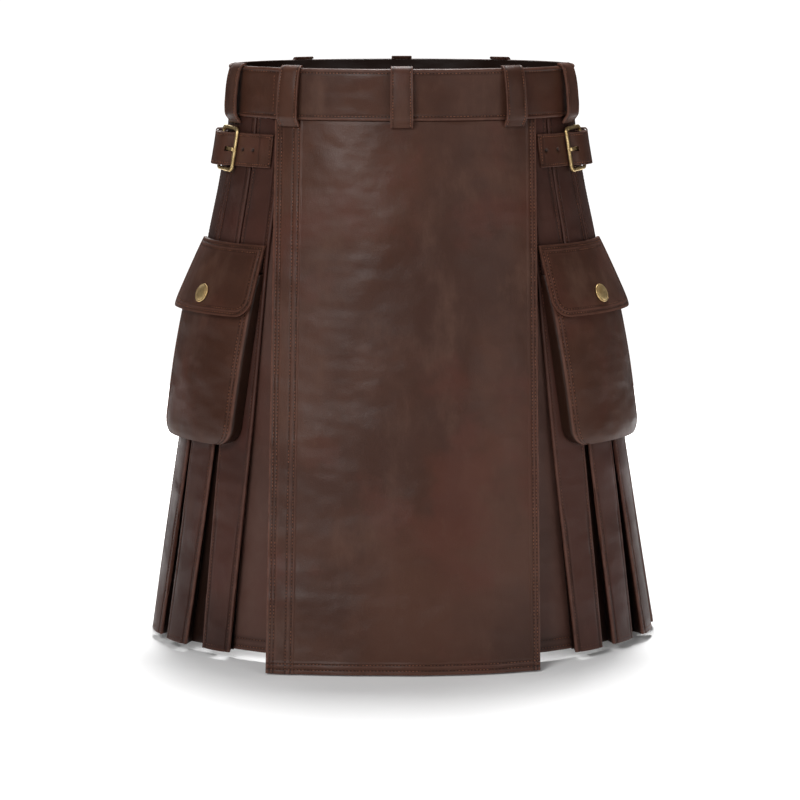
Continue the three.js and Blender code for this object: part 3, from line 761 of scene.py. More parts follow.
@dataclass
class Apron:
    """The over apron: a flat panel with a placket on one edge and a narrow hem on the other."""

    top_drop: float = 52.8
    hem_drop: float = 609
    top_left: float = -130.5
    top_right: float = 138.5
    hem_left: float = -139
    hem_right: float = 142
    clearance: float = 1
    centre_lift: float = 14
    left_lift: float = 18
    right_lift: float = 7
    placket: float = 28
    narrow_hem: float = 10
    hem_fold: float = 12.8
    edge_extra: float = 0.8
    row_step: float = 7
    cut: tuple[float, float] = (0.33, 0.58)
    finish: LeatherFinish = LeatherFinish("leather_apron", seed=2.0, red_share=0.6)

    LEFT_ROWS = (3.8, 7.4, 19.8, 25.3)
    RIGHT_ROWS = (2.8, 6.2)
    HEM_ROWS = (4.2, 9.8)
    RIDGES = (("left", 0, 1.6, 0.9), ("left", 9.2, 0.8, 0.35), ("left", 21.5, 0.8, 0.4),
              ("left", 27, 0.8, 0.4), ("right", 0, 1.5, 0.8), ("right", 4.4, 0.9, 0.6),
              ("hem", 0, 1.4, 0.7), ("hem", 8.2, 0.8, 0.5), ("hem", 3, 0.7, 0.4))

    def edges(self, drop: np.ndarray) -> tuple[np.ndarray, np.ndarray]:
        """Returns the x of the left and right edges at each drop."""
        down = (drop - self.top_drop) / (self.hem_drop - self.top_drop)
        return (self.top_left + (self.hem_left - self.top_left) * down,
                self.top_right + (self.hem_right - self.top_right) * down)

    def at(self, x: np.ndarray, drop: np.ndarray, out: np.ndarray | float) -> np.ndarray:
        """Finds a point of the apron.

        Args:
            x: Distances to +X.
            drop: Drops.
            out: Distance from the back of the leather.

        Returns:
            Points in millimetres.
        """
        half_width = table_at(FORM_ROWS, drop, "half_width")
        front = table_at(FORM_ROWS, drop, "front")
        down = np.clip((drop - self.top_drop) / (self.hem_drop - self.top_drop), 0, 2)
        side = np.where(x < 0, self.left_lift, self.right_lift)
        lift = self.centre_lift + side * (x / self.top_right) ** 2
        depth = front * np.sqrt(1 - (x / half_width) ** 2) + self.clearance + lift * down**1.2
        return np.stack([x, -depth - out, WAIST_TOP - drop + 0 * x], axis=-1)

    def relief(self, x: np.ndarray, drop: np.ndarray) -> np.ndarray:
        """Finds the height of the worked edges, folds and soft unevenness over the plain leather.

        Args:
            x: Distances to +X.
            drop: Drops.

        Returns:
            Heights in millimetres.
        """
        left, right = self.edges(drop)
        from_left, from_right, from_hem = x - left, right - x, self.hem_drop - drop
        placket = self.edge_extra * smooth((self.placket + 0.8 - from_left) / 1.6)
        narrow = self.edge_extra * smooth((self.narrow_hem + 0.8 - from_right) / 1.6)
        hem = 0.5 * smooth((self.hem_fold - from_hem) / 1.6)
        sunk = -0.4 * self.rows(from_left, from_right, from_hem)
        uneven = waves(x * 1.1, drop, 1.3, 1.5) * smooth((drop - 62) / 80)
        return placket + narrow + hem + sunk + uneven

    def rows(self, from_left: np.ndarray, from_right: np.ndarray, from_hem: np.ndarray) -> np.ndarray:
        """Marks the sunk lines of stitching.

        Args:
            from_left: Distances from the left edge.
            from_right: Distances from the right edge.
            from_hem: Distances from the hem.

        Returns:
            1 on a line, 0 away from it.
        """
        lines = [(from_left, at) for at in self.LEFT_ROWS] + [(from_right, at) for at in self.RIGHT_ROWS]
        lines += [(from_hem, at) for at in self.HEM_ROWS]
        return np.clip(sum(np.exp(-(((far - at) / 0.75) ** 2)) for far, at in lines), 0, 1)

    def wear(self, x: np.ndarray, drop: np.ndarray) -> np.ndarray:
        """Marks where the dye has rubbed off: along the edges and the folds' ridges."""
        left, right = self.edges(drop)
        far = {"left": x - left, "right": right - x, "hem": self.hem_drop - drop}
        return sum(np.exp(-(((far[edge] - at) / width) ** 2)) * size
                   for edge, at, width, size in self.RIDGES)

    def build(self) -> None:
        """Builds and dresses the apron and its stitches."""
        fine = [[at - 1.5, at - 0.8, at, at + 0.8, at + 1.5] for at in (*self.LEFT_ROWS, self.placket)]
        near_left = np.unique(np.concatenate([[0, 0.8, 1.6, 11, 14, 17, 31.5], *fine]))
        fine = [[at - 1.3, at - 0.8, at, at + 0.8, at + 1.3] for at in (*self.RIGHT_ROWS, self.narrow_hem)]
        near_right = np.unique(np.concatenate([[0, 0.7, 8.3, 14], *fine]))[::-1]
        fine = [[at - 1.5, at - 0.8, at, at + 0.8, at + 1.5] for at in (*self.HEM_ROWS, self.hem_fold)]
        near_hem = np.unique(np.concatenate([[0, 0.7, 1.6, 6.8, 16], *fine]))[::-1]
        drops = np.concatenate([[self.top_drop], np.arange(58, self.hem_drop - 19, self.row_step),
                                self.hem_drop - near_hem])
        share = np.linspace(0, 1, 42)[1:-1]
        left, right = self.edges(drops)
        span = right - left - near_left[-1] - near_right[0]
        x = np.hstack([left[:, None] + near_left, (left + near_left[-1])[:, None] + span[:, None] * share,
                       right[:, None] - near_right])
        drop = np.repeat(drops[:, None], x.shape[1], axis=1)
        relief = self.relief(x, drop)
        front, back = self.at(x, drop, WALL + relief), self.at(x, drop, 0)
        sewn = self.rows(x - left[:, None], right[:, None] - x, self.hem_drop - drop)
        # Painted shade along the sunk stitch rows.
        marks = {"wear": self.wear(x, drop), "painted_shade": 0.9 * sewn}
        made = Wall("apron_leather_panel", front, back, marks).build()
        dress(made, Dye.leather(self.finish), Slot.APRON, "apron")
        self.stitch().build(THREAD, Slot.APRON)
        log.info("apron: %d faces", len(made.data.polygons))

    def stitch(self) -> Seam:
        """Lays the apron's rows of stitches.

        Returns:
            The rows.
        """
        seam = Seam("apron_stitches")
        drops = np.linspace(self.top_drop + 3, self.hem_drop - 5, 160)
        left, right = self.edges(drops)
        for x in (*(left + at for at in self.LEFT_ROWS), *(right - at for at in self.RIGHT_ROWS)):
            self.add_row(seam, x, drops)
        for rise in self.HEM_ROWS:
            drop = np.full(120, self.hem_drop - rise)
            ends = self.edges(drop)
            self.add_row(seam, np.linspace(ends[0][0] + 4, ends[1][0] - 4, 120), drop)
        return seam

    def add_row(self, seam: Seam, x: np.ndarray, drop: np.ndarray) -> None:
        """Adds one row of stitches on the apron's face.

        Args:
            seam: The rows.
            x: The row's distances to +X.
            drop: Its drops.
        """
        points = self.at(x, drop, WALL + self.relief(x, drop))
        aside = self.at(x + 1, drop, WALL + self.relief(x, drop))
        below = self.at(x, drop + 1, WALL + self.relief(x, drop))
        seam.along(points, np.cross(below - points, aside - points))


# The pleats


@dataclass
class Pleats:
    """Box pleats: ten a side in three panels, edge-stitched and open towards the hem."""

    a_side: int = 10
    top_drop: float = 52.8
    hem_drop: float = 602
    fell_drop: float = 250
    fold: float = 1.15
    swing: float = 1.4
    kick: float = 2.2
    crown: float = 0.9
    seam_tuck: float = 3
    panel_seam: float = 0.6
    back_lap: float = 0.25
    row_inset: float = 2.2
    hem_row_drop: float = 597
    hem_row_inset: float = 3
    unevenness: float = 0.35
    row_step: float = 11
    cut_a_pleat: float = 0.117
    cut_length: float = 0.552
    # A darker copy of the leather: painted shade for the pleats round the sides.
    finish: LeatherFinish = LeatherFinish("leather_pleats_painted_shade", (0.031, 0.0115, 0.0081), (0.048, 0.0182, 0.0128),
                                          (0.068, 0.031, 0.023), (0.054, 0.016, 0.0115), seed=7.0, rough=0.47)

    PANELS = (("side", 0, 4), ("hip", 4, 7), ("back", 7, 10))

    def plan(self, drop: float) -> dict[str, float]:
        """Finds the pleats' sizes at one drop.

        Args:
            drop: The drop.

        Returns:
            Start, pitch, gap, depth and tuck in millimetres.
        """
        sizes = {name: float(table_at(PLEAT_ROWS, drop, name)) for name in ("gap", "depth", "tuck")}
        sizes["start"] = FORM.along(drop, float(table_at(PLEAT_ROWS, drop, "start")))
        sizes["pitch"] = (float(FORM.half(drop)) - sizes["start"]) / self.a_side
        return sizes

    def hang(self, drop: float) -> float:
        """Returns how free the pleats are at a drop, from 0 at the fell to 1 at the hem."""
        return max(0.0, (drop - self.fell_drop) / (self.hem_drop - self.fell_drop)) ** 3

    def half_edge(self, plan: dict[str, float]) -> float:
        """Returns half the flat width of a pleat's face."""
        return (plan["pitch"] - plan["gap"]) / 2 - self.fold - WALL / 2 * math.sqrt(2)

    def half_line(self, plan: dict[str, float]) -> np.ndarray:
        """Draws half a pleat's section: face, outer fold, tuck, inner fold.

        Args:
            plan: The pleats' sizes.

        Returns:
            Rows of distance from the pleat's centre and depth.
        """
        w, r, depth, tuck = self.half_edge(plan), self.fold, plan["depth"], plan["tuck"]
        face = [(w * share, 0) for share in (0.2, 0.4, 0.58, 0.72, 0.84)]
        face += [(w - back, 0) for back in (3, 2.2, 1.4, 0.7, 0)]
        outer = [(w + r * math.sin(a), r - r * math.cos(a)) for a in np.linspace(0.4, math.pi - 0.4, 6)]
        under = [(w - tuck * s, 2 * r + (depth - 4 * r) * s) for s in (0, 0.3, 0.7, 1)]
        inner = [(w - tuck - r * math.sin(a), depth - r - r * math.cos(a))
                 for a in np.linspace(0.5, math.pi - 0.5, 5)]
        return np.array(face + outer + under + inner + [(w - tuck, depth)])

    def marks(self, plan: dict[str, float], line: np.ndarray) -> tuple[np.ndarray, np.ndarray]:
        """Marks half a pleat's worn fold, and the painted shade deep in its folds and along its stitch row.

        Args:
            plan: The pleats' sizes.
            line: The half section.

        Returns:
            Wear and painted shade for each point.
        """
        w = self.half_edge(plan)
        wear = np.exp(-(((line[:, 0] - w - 0.6) / 1.1) ** 2)) * (line[:, 1] < 1.9)
        wear *= 0.15 + 0.4 * smooth((plan["gap"] - 2) / 6)
        sewn = np.exp(-(((line[:, 0] - w + self.row_inset) / 0.7) ** 2)) * (line[:, 1] < 0.5)
        # Painted shade: darker deeper into the fold, and along the stitch row.
        return wear, smooth((line[:, 1] - 1.6) / 2) * 0.9 + 0.7 * sewn

    def centre(self, plan: dict[str, float], side: int, index: int, hang: float) -> float:
        """Returns the distance along of the middle of one pleat's face."""
        swung = self.swing * math.sin(2.3 * index + side) * hang
        return plan["start"] + (index + 0.5) * plan["pitch"] + swung

    def kicked(self, side: int, index: int, hang: np.ndarray | float) -> np.ndarray | float:
        """Returns how far one pleat's face stands out of line."""
        return self.kick * math.cos(1.7 * index + 2 * side) * hang

    def first_seam(self, drop: float, side: int) -> float:
        """Returns the distance along of the seam under the first pleat's face."""
        plan = self.plan(drop)
        centre = self.centre(plan, side, 0, self.hang(drop))
        return centre - (self.half_edge(plan) - plan["tuck"]) - self.seam_tuck

    def row(self, side: int, first: int, end: int, drop: float) -> tuple[np.ndarray, np.ndarray, np.ndarray]:
        """Draws one panel's section at a drop.

        Args:
            side: -1 for the left, 1 for the right.
            first: The panel's first pleat.
            end: One past its last pleat.
            drop: The drop.

        Returns:
            The centre line's points, with along and depth, and their wear and painted shade.
        """
        plan = self.plan(drop)
        half = self.half_line(plan)
        wear, painted_shade = self.marks(plan, half)
        front = self.first_seam(drop, side)
        if first:
            front = plan["start"] + first * plan["pitch"] + self.panel_seam / 2
        # The panel's start lies deep in the fold and gets painted shade.
        points, wears, shades = [[(front, plan["depth"])]], [[0.0]], [[0.9]]
        from_row = half[:, 0] - self.half_edge(plan) + self.row_inset
        sunk = 0.3 * np.exp(-((from_row / 0.9) ** 2)) * (half[:, 1] < 0.5)
        hang = self.hang(drop)
        bulge = self.crown * hang * (1 - (half[:, 0] / self.half_edge(plan)) ** 2) * (half[:, 1] < 0.1)
        for index in range(first, end):
            centre, kick = self.centre(plan, side, index, hang), self.kicked(side, index, hang)
            for mirror in (-1, 1):
                across = half[:, 0] * mirror
                swells = waves(across * 1.4, np.full(len(half), drop), index + 4.7 * side, self.unevenness)
                worked = (self.unevenness + swells + sunk) * (half[:, 1] < 1.2)
                line = np.stack([centre + across, half[:, 1] - kick + worked - bulge], axis=1)
                order = slice(None, None, -1) if mirror < 0 else slice(None)
                points.append(line[order])
                wears.append(wear[order])
                shades.append(painted_shade[order])
        short = self.panel_seam / 2 if end < self.PANELS[-1][2] else -self.back_lap
        # The panel's far end gets painted shade too.
        points.append([(plan["start"] + end * plan["pitch"] - short, plan["depth"])])
        wears.append([0.0])
        shades.append([0.9])
        return np.vstack(points), np.concatenate(wears), np.concatenate(shades)

    def build(self) -> None:
        """Builds and dresses the six panels and their stitches."""
        drops = np.concatenate([np.arange(self.top_drop, self.hem_drop - 14, self.row_step),
                                self.hem_drop - np.array([12, 9, 6, 4.5, 3, 1.5, 0])])
        for word, side in SIDES.items():
            seam = Seam(f"pleat_stitches_{word}", pitch=3.6, radius=0.36)
            for place, first, end in self.PANELS:
                rows = [self.row(side, first, end, drop) for drop in drops]
                lines = np.array([row[0] for row in rows])
                wear, painted_shade = np.array([row[1] for row in rows]), np.array([row[2] for row in rows])
                near_hem = np.exp(-(((self.hem_drop - drops[:, None]) / 1.6) ** 2))
                walls = []
                for distance in (WALL / 2, -WALL / 2):
                    moved = np.array([offset_line(line, distance) for line in lines])
                    drop = np.repeat(drops[:, None], moved.shape[1], axis=1)
                    walls.append(FORM.at(drop, side * moved[..., 0], -moved[..., 1] - WALL / 2))
                name = f"pleats_{place}_{word}"
                marks = {"wear": np.maximum(wear, near_hem * 0.6), "painted_shade": painted_shade}
                made = Wall(f"{name}_leather", *walls, marks, bevel=0.35).build()
                dress(made, Dye.leather(self.finish), Slot.PLEATS, name)
                self.stitch(seam, side, first, end)
                log.info("%s: %d faces", made.name, len(made.data.polygons))
            seam.build(FINE_THREAD, Slot.PLEATS)

    def stitch(self, seam: Seam, side: int, first: int, end: int) -> None:
        """Lays a row of stitches down each edge of a panel's pleats, and round their hems.

        Args:
            seam: The rows.
            side: -1 for the left, 1 for the right.
            first: The panel's first pleat.
            end: One past its last pleat.
        """
        drops = np.linspace(self.top_drop + 4, self.hem_row_drop, 110)
        plans = [self.plan(drop) for drop in drops]
        hang = np.array([self.hang(drop) for drop in drops])
        edge = np.array([self.half_edge(plan) for plan in plans]) - self.row_inset
        for index in range(first, end):
            kick = self.kicked(side, index, hang)
            centre = np.array([self.centre(plan, side, index, free) for plan, free in zip(plans, hang)])
            for mirror in (-1, 1):
                along = side * (centre + mirror * edge)
                points = FORM.at(drops, along, kick - 0.55)
                seam.along(points, FORM.at(drops, along, kick + 1) - points)
            self.hem_row(seam, side, index)

    def hem_row(self, seam: Seam, side: int, index: int) -> None:
        """Lays the row of stitches across one pleat's hem.

        Args:
            seam: The rows.
            side: -1 for the left, 1 for the right.
            index: The pleat's number from the front.
        """
        drop = self.hem_row_drop
        plan, hang = self.plan(drop), self.hang(drop)
        edge = self.half_edge(plan)
        u = np.linspace(self.hem_row_inset - edge, edge - self.hem_row_inset, 14)
        bulge = self.crown * hang * (1 - (u / edge) ** 2)
        out = self.kicked(side, index, hang) - self.unevenness + bulge
        along = side * (self.centre(plan, side, index, hang) + u)
        points = FORM.at(drop, along, out)
        seam.along(points, FORM.at(drop, along, out + 1) - points)


@dataclass
class UnderApron:
    """The smooth under apron, behind the over apron and between the two sides' pleats."""

    hem_drop: float = 601
    rise: float = 3.2
    rise_end: float = 260
    flat_half: float = 120
    columns: int = 96
    cut: tuple[float, float] = (0.37, 0.545)
    # A paler copy of the leather: painted light on the panel seen between the apron and the pleats.
    finish: LeatherFinish = LeatherFinish("leather_under_apron_painted_light", (0.058, 0.027, 0.020), (0.078, 0.037, 0.028),
                                          (0.095, 0.052, 0.041), seed=11.0, rough=0.5)

    HEM_ROWS = (4, 12)

    @staticmethod
    def reach(drop: float, share: np.ndarray, pleats: Pleats) -> np.ndarray:
        """Returns the distance along of the pleats' seam on the side of each share."""
        return np.where(share < 0, pleats.first_seam(drop, -1), pleats.first_seam(drop, 1))

    def out(self, drop: float, along: np.ndarray, reach: np.ndarray, pleats: Pleats) -> np.ndarray:
        """Finds how far out the under apron's middle lies.

        Args:
            drop: The drop.
            along: Distances along.
            reach: The distance along of its edge on that side.
            pleats: The pleats it joins.

        Returns:
            Distances outwards.
        """
        top = smooth((self.rise_end - drop) / (self.rise_end - 55))
        middle = smooth((reach - np.abs(along)) / (reach - self.flat_half + 30))
        return -pleats.plan(drop)["depth"] - WALL / 2 + self.rise * top * middle

    def build(self, pleats: Pleats) -> None:
        """Builds and dresses the under apron and its hem stitches.

        Args:
            pleats: The pleats it joins.
        """
        drops = np.concatenate([np.arange(pleats.top_drop, self.hem_drop - 14, 14),
                                self.hem_drop - np.array([13, 12, 11, 8, 5, 4, 3, 1.5, 0])])
        share = np.linspace(-1, 1, self.columns)
        fronts, backs, wears, shades = [], [], [], []
        for drop in drops:
            reach = self.reach(drop, share, pleats) - pleats.panel_seam
            along = reach * share
            out = self.out(drop, along, reach, pleats)
            from_hem = self.hem_drop - drop
            sunk = -0.3 * sum(np.exp(-(((from_hem - rise) / 1.1) ** 2)) for rise in self.HEM_ROWS)
            fronts.append(FORM.at(drop, along, out + WALL / 2 + sunk))
            backs.append(FORM.at(drop, along, out - WALL / 2))
            wears.append(np.full(len(share), 0.6 * math.exp(-((from_hem / 1.6) ** 2))))
            # Painted shade in the sunk hem rows.
            shades.append(np.full(len(share), -2.5 * sunk))
        marks = {"wear": np.array(wears), "painted_shade": np.array(shades)}
        made = Wall("under_apron_leather_panel", np.array(fronts), np.array(backs), marks).build()
        dress(made, Dye.leather(self.finish), Slot.UNDER_APRON, "under_apron")
        seam = Seam("under_apron_stitches")
        for rise in self.HEM_ROWS:
            drop = self.hem_drop - rise
            reach = self.reach(drop, share, pleats) - 2
            along = reach * share
            out = self.out(drop, along, reach, pleats) + WALL / 2 - 0.3
            points = FORM.at(drop, along, out)
            seam.along(points, FORM.at(drop, along, out + 1) - points)
        seam.build(THREAD, Slot.UNDER_APRON)
        log.info("under apron: %d faces", len(made.data.polygons))


# The waistband and its loops


@dataclass
class Waistband:
    """One long strip that goes once round and ends behind itself."""

    height: float = 52.5
    thickness: float = 3.6
    foot_thickness: float = 7.6
    outer_end: float = -139
    inner_end: float = 118
    over_out: float = 5.2
    single_out: float = 1.4
    under_out: float = 0.9
    row_inset: float = 4.4
    end_inset: float = 3.5
    cut: tuple[float, float] = (1.26, 0.062)
    finish: LeatherFinish = LeatherFinish("leather_band", seed=15.0)

    @property
    def round(self) -> float:
        """The length round the middle of the band's form."""
        return 2 * float(FORM.half(self.height / 2))

    def out(self, along: np.ndarray | float) -> np.ndarray:
        """Finds how far out the band's face stands.

        Args:
            along: Distances along from its outer end.

        Returns:
            Distances outwards.
        """
        joined = smooth((along - self.inner_end - 10) / 70)
        under = smooth((along - (self.round + self.outer_end - 70)) / 60)
        over = self.over_out + (self.single_out - self.over_out) * joined
        return over + (self.under_out - over) * under

    def foot(self, along: np.ndarray) -> np.ndarray:
        """Returns the band's thickness at its foot, which holds the pleats' layers."""
        on = smooth((along - self.inner_end - 30) / 60)
        off = smooth((along - (self.round + self.outer_end - 70)) / 60)
        return self.thickness + (self.foot_thickness - self.thickness) * on * (1 - off)

    def at(self, drop: np.ndarray | float, along: np.ndarray | float, out: np.ndarray | float) -> np.ndarray:
        """Finds a point at a drop and a distance along the band's middle, moved outwards."""
        scaled = np.asarray(along) * FORM.half(drop) / FORM.half(self.height / 2)
        return FORM.at(drop, scaled, out)

    def section(self) -> np.ndarray:
        """Draws the band's closed section.

        Returns:
            Rows of drop, height over the face, and share of the way to the back.
        """
        face = [(0.7, 0.1, 0), (1.5, 0.5, 0), (2.6, 0.55, 0), (3.5, 0.1, 0), (4.4, -0.35, 0), (5.3, 0.0, 0),
                (7.5, 0.15, 0)]
        face += [(drop, 0.15, 0) for drop in (12, 18, 26.2, 34.5, 40.5)]
        face += [(self.height - drop, height, 0) for drop, height, _ in face[6::-1]]
        back = [(drop, 0, 1) for drop in (self.height - 0.6, self.height - 4, 36, 17, 4, 0.6)]
        ends = [(self.height, 0, 0.28), (self.height, 0, 0.72)]
        return np.array(face + ends + back + [(0, 0, 0.72), (0, 0, 0.28)])

    def build(self) -> None:
        """Builds and dresses the band and its two rows of stitches."""
        length = self.round + self.inner_end - self.outer_end
        along = np.linspace(self.outer_end, self.outer_end + length, 230)
        section = self.section()
        drop, height, back = (np.repeat(section[None, :, k], len(along), axis=0) for k in range(3))
        thick = self.thickness + (self.foot(along) - self.thickness)[:, None] * drop / self.height
        uneven = waves(along[:, None] + 0 * drop, drop * 3, 5.2, 0.25) * (back == 0)
        out = self.out(along)[:, None] + height + uneven - back * thick
        points = self.at(drop, along[:, None], out)
        edge = np.minimum(drop, self.height - drop)
        wear = np.exp(-(((edge - 1.6) / 1.2) ** 2)) * 0.5 * (back < 0.5)
        # Painted shade along both stitch rows and over the whole inside face of the band.
        painted_shade = 0.9 * np.exp(-(((edge - self.row_inset) / 0.8) ** 2)) * (back == 0) + (back == 1)
        made = self.tube("waistband_leather", points, {"wear": wear, "painted_shade": painted_shade})
        dress(made, Dye.leather(self.finish), Slot.BAND, "waistband")
        seam = Seam("waistband_stitches")
        rows = np.linspace(self.outer_end + 4, self.round + self.outer_end + 2, 300)
        for row_drop in (self.row_inset, self.height - self.row_inset):
            line = self.at(row_drop, rows, self.out(rows) - 0.3)
            seam.along(line, self.at(row_drop, rows, self.out(rows) + 1) - line)
        ends = np.linspace(7, self.height - 7, 20)
        across, face = self.outer_end + self.end_inset, self.out(self.outer_end)
        line = self.at(ends, across, face)
        seam.along(line, self.at(ends, across, face + 1) - line)
        seam.build(THREAD, Slot.BAND)
        log.info("waistband: %d faces", len(made.data.polygons))

    @staticmethod
    def tube(name: str, points: np.ndarray, marks: dict[str, np.ndarray]) -> bpy.types.Object:
        """Makes a closed strip from its sections.

        Args:
            name: The object's name.
            points: Sections in rows.
            marks: Their wear and painted shade.

        Returns:
            The object.
        """
        rows, columns = points.shape[:2]
        number = np.arange(rows * columns).reshape(rows, columns)
        number = np.hstack([number, number[:, :1]])
        quads = np.stack([number[:-1, :-1], number[:-1, 1:], number[1:, 1:], number[1:, :-1]], axis=-1)
        faces = quads.reshape(-1, 4).tolist()
        faces += [number[0, :-1][::-1].tolist(), number[-1, :-1].tolist()]
        mesh = bpy.data.meshes.new(name)
        mesh.from_pydata((points.reshape(-1, 3) * MM).tolist(), [], faces)
        for mark, values in marks.items():
            layer = mesh.attributes.new(mark, "FLOAT", "POINT")
            layer.data.foreach_set("value", np.clip(values, 0, 1).ravel().astype(np.float32))
        made = bpy.data.objects.new(name, mesh)
        bpy.context.scene.collection.objects.link(made)
        face_outwards(made)
        pick(made)
        bpy.ops.object.shade_smooth_by_angle(angle=math.radians(50))
        return made


@dataclass
class BeltLoops:
    """Eight loops that hook over the band's top edge, stand off its face and are sewn down below."""

    width: float = 22
    thickness: float = 2.4
    cut: tuple[float, float] = (0.025, 0.083)
    line: tuple[tuple[float, float], ...] = (
        (-1.6, -2.6), (-1.7, 0.6), (0.6, 3.4), (8, 6.0), (18, 7.6), (30, 8.3), (43.5, 8.3), (50.5, 7.1))
    foot: tuple[tuple[float, float], ...] = ((55.4, 4.6), (59, 1.9))
    finish: LeatherFinish = LeatherFinish("leather_loops", seed=19.0)

    ALONG = {"front": 115, "side": 195, "back": 374}
    ROW_SHARE = 0.77
    SHARES = (0.35, 0.7, ROW_SHARE, 0.84, 0.94, 1.0)

    def places(self, band: Waistband) -> dict[str, float]:
        """Lists where the loops stand, as distances along the band."""
        pairs = {f"{place}_{word}": side * along for place, along in self.ALONG.items()
                 for word, side in SIDES.items()}
        return {"front_centre": 0, **pairs, "back_centre": band.round / 2}

    def build(self, band: Waistband, apron: Apron) -> None:
        """Builds and dresses the loops.

        Args:
            band: The waistband they hold.
            apron: The over apron that the front ones end on.
        """
        places = self.places(band)
        seam = Seam("belt_loop_stitches", pitch=3)
        share = np.array([-s for s in self.SHARES[::-1]] + [0, *self.SHARES])
        edge = np.abs(share)
        sewn = np.exp(-(((edge - self.ROW_SHARE) / 0.06) ** 2))
        ridge = 0.25 * np.exp(-(((edge - 0.95) / 0.1) ** 2)) - 0.35 * sewn
        worn = 0.6 * np.exp(-(((1 - edge) / 0.09) ** 2))
        for name, along in places.items():
            turn = along if along >= band.outer_end else along + band.round
            face = float(band.out(turn))
            below = apron.clearance + WALL + apron.edge_extra if abs(along) < -band.outer_end else 0
            line = np.array([(drop, face + out) for drop, out in self.line]
                            + [(drop, below + out) for drop, out in self.foot])
            line = resampled(line, 2.2)
            walls = []
            for distance in (self.thickness / 2, -self.thickness / 2):
                moved = offset_line(line, distance)
                lift = ridge if distance < 0 else 0 * ridge
                walls.append(band.at(moved[:, :1], along + share * self.width / 2, moved[:, 1:] + lift))
            # Painted shade along the stitch rows.
            marks = {"wear": np.tile(worn, (len(line), 1)), "painted_shade": np.tile(0.9 * sewn, (len(line), 1))}
            made = Wall(f"belt_loop_{name}_leather", *walls, marks).build()
            dress(made, Dye.leather(self.finish), Slot.STRAP, f"belt_loop_{name}")
            outer = offset_line(line, -self.thickness / 2)
            for mirror in (-1, 1):
                place = along + mirror * self.ROW_SHARE * self.width / 2
                row = band.at(outer[:, 0], place, outer[:, 1] - 0.2)
                beyond = band.at(outer[:, 0], place, outer[:, 1] + 1)
                seam.along(row[4:-1], (beyond - row)[4:-1])
        seam.build(THREAD, Slot.STRAP)
        log.info("belt loops: %d", len(places))


# The metal pieces


def seat_on(surface: Callable[[float, float], np.ndarray], side: int) -> Matrix:
    """Finds the frame of a surface: x runs backwards round the body and z points out.

    Args:
        surface: Gives a point at a distance along and a rise, in millimetres.
        side: -1 for the left, 1 for the right.

    Returns:
        The frame, in metres.
    """
    here = Vector(surface(0, 0))
    up = (Vector(surface(0, 1)) - here).normalized() * side
    out = (Vector(surface(1, 0)) - here).cross(up).normalized()
    back = up.cross(out)
    seat = Matrix((back, up, out)).transposed().to_4x4()
    seat.translation = here * MM
    return seat


def settle(piece: bpy.types.Object, seat: Matrix) -> None:
    """Puts a piece on its frame and leaves its place in its mesh."""
    pick(piece)
    piece.matrix_world = seat
    bpy.ops.object.transform_apply(location=True, rotation=True, scale=True)


@dataclass
class BuckleFrame:
    """A buckle's rounded brass frame."""

    width: float = 40
    height: float = 47.5
    bar: float = 4
    thickness: float = 3.2
    corner: float = 6
    rounding: float = 1.35

    def build(self, name: str) -> bpy.types.Object:
        """Models the frame from a plane, flat about the origin.

        Args:
            name: The object's name.

        Returns:
            The object.
        """
        bpy.ops.object.select_all(action="DESELECT")
        bpy.ops.mesh.primitive_plane_add(size=1)
        made = bpy.context.active_object
        made.name = name
        made.scale = (self.width * MM, self.height * MM, 1)
        bpy.ops.object.transform_apply(location=False, rotation=False, scale=True)
        bpy.ops.object.mode_set(mode="EDIT")
        bpy.ops.mesh.select_all(action="SELECT")
        bpy.ops.mesh.bevel(offset=self.corner * MM, segments=8, affect="VERTICES")
        bpy.ops.mesh.select_all(action="SELECT")
        bpy.ops.mesh.inset(thickness=self.bar * MM)
        bpy.ops.mesh.delete(type="FACE")
        bpy.ops.object.mode_set(mode="OBJECT")
        solid = made.modifiers.new("thickness", "SOLIDIFY")
        solid.thickness, solid.offset = self.thickness * MM, 0
        bpy.ops.object.modifier_apply(modifier=solid.name)
        soften(made, self.rounding, 5, 60)
        return made


@dataclass
class SnapCap:
    """A snap's domed brass cap with a rolled rim."""

    radius: float = 10
    height: float = 3.2
    rim: float = 1.5

    DOME = ((1.1, 0.15), (0.35, -0.3), (0.5, 0.35), (1.6, 0.62), (2.0, 0.45), (2.2, 0.28), (1.4, 0.12))

    def build(self, name: str) -> bpy.types.Object:
        """Models the cap from a cylinder, flat on the origin.

        Args:
            name: The object's name.

        Returns:
            The object.
        """
        bpy.ops.object.select_all(action="DESELECT")
        bpy.ops.mesh.primitive_cylinder_add(vertices=48, radius=self.radius * MM, depth=self.rim * MM,
                                            location=(0, 0, self.rim / 2 * MM))
        made = bpy.context.active_object
        made.name = name
        bpy.ops.object.transform_apply(location=True, rotation=False, scale=False)
        bpy.ops.object.mode_set(mode="EDIT")
        bpy.ops.mesh.select_all(action="DESELECT")
        bpy.ops.object.mode_set(mode="OBJECT")
        for face in made.data.polygons:
            face.select = face.normal.z > 0.9
        bpy.ops.object.mode_set(mode="EDIT")
        bpy.ops.mesh.select_mode(type="FACE")
        for inset, rise in self.DOME:
            bpy.ops.mesh.inset(thickness=inset * MM)
            bpy.ops.transform.translate(value=(0, 0, rise * MM))
        bpy.ops.object.mode_set(mode="OBJECT")
        soften(made, 0.55, 3, 60)
        return made


# The hip straps


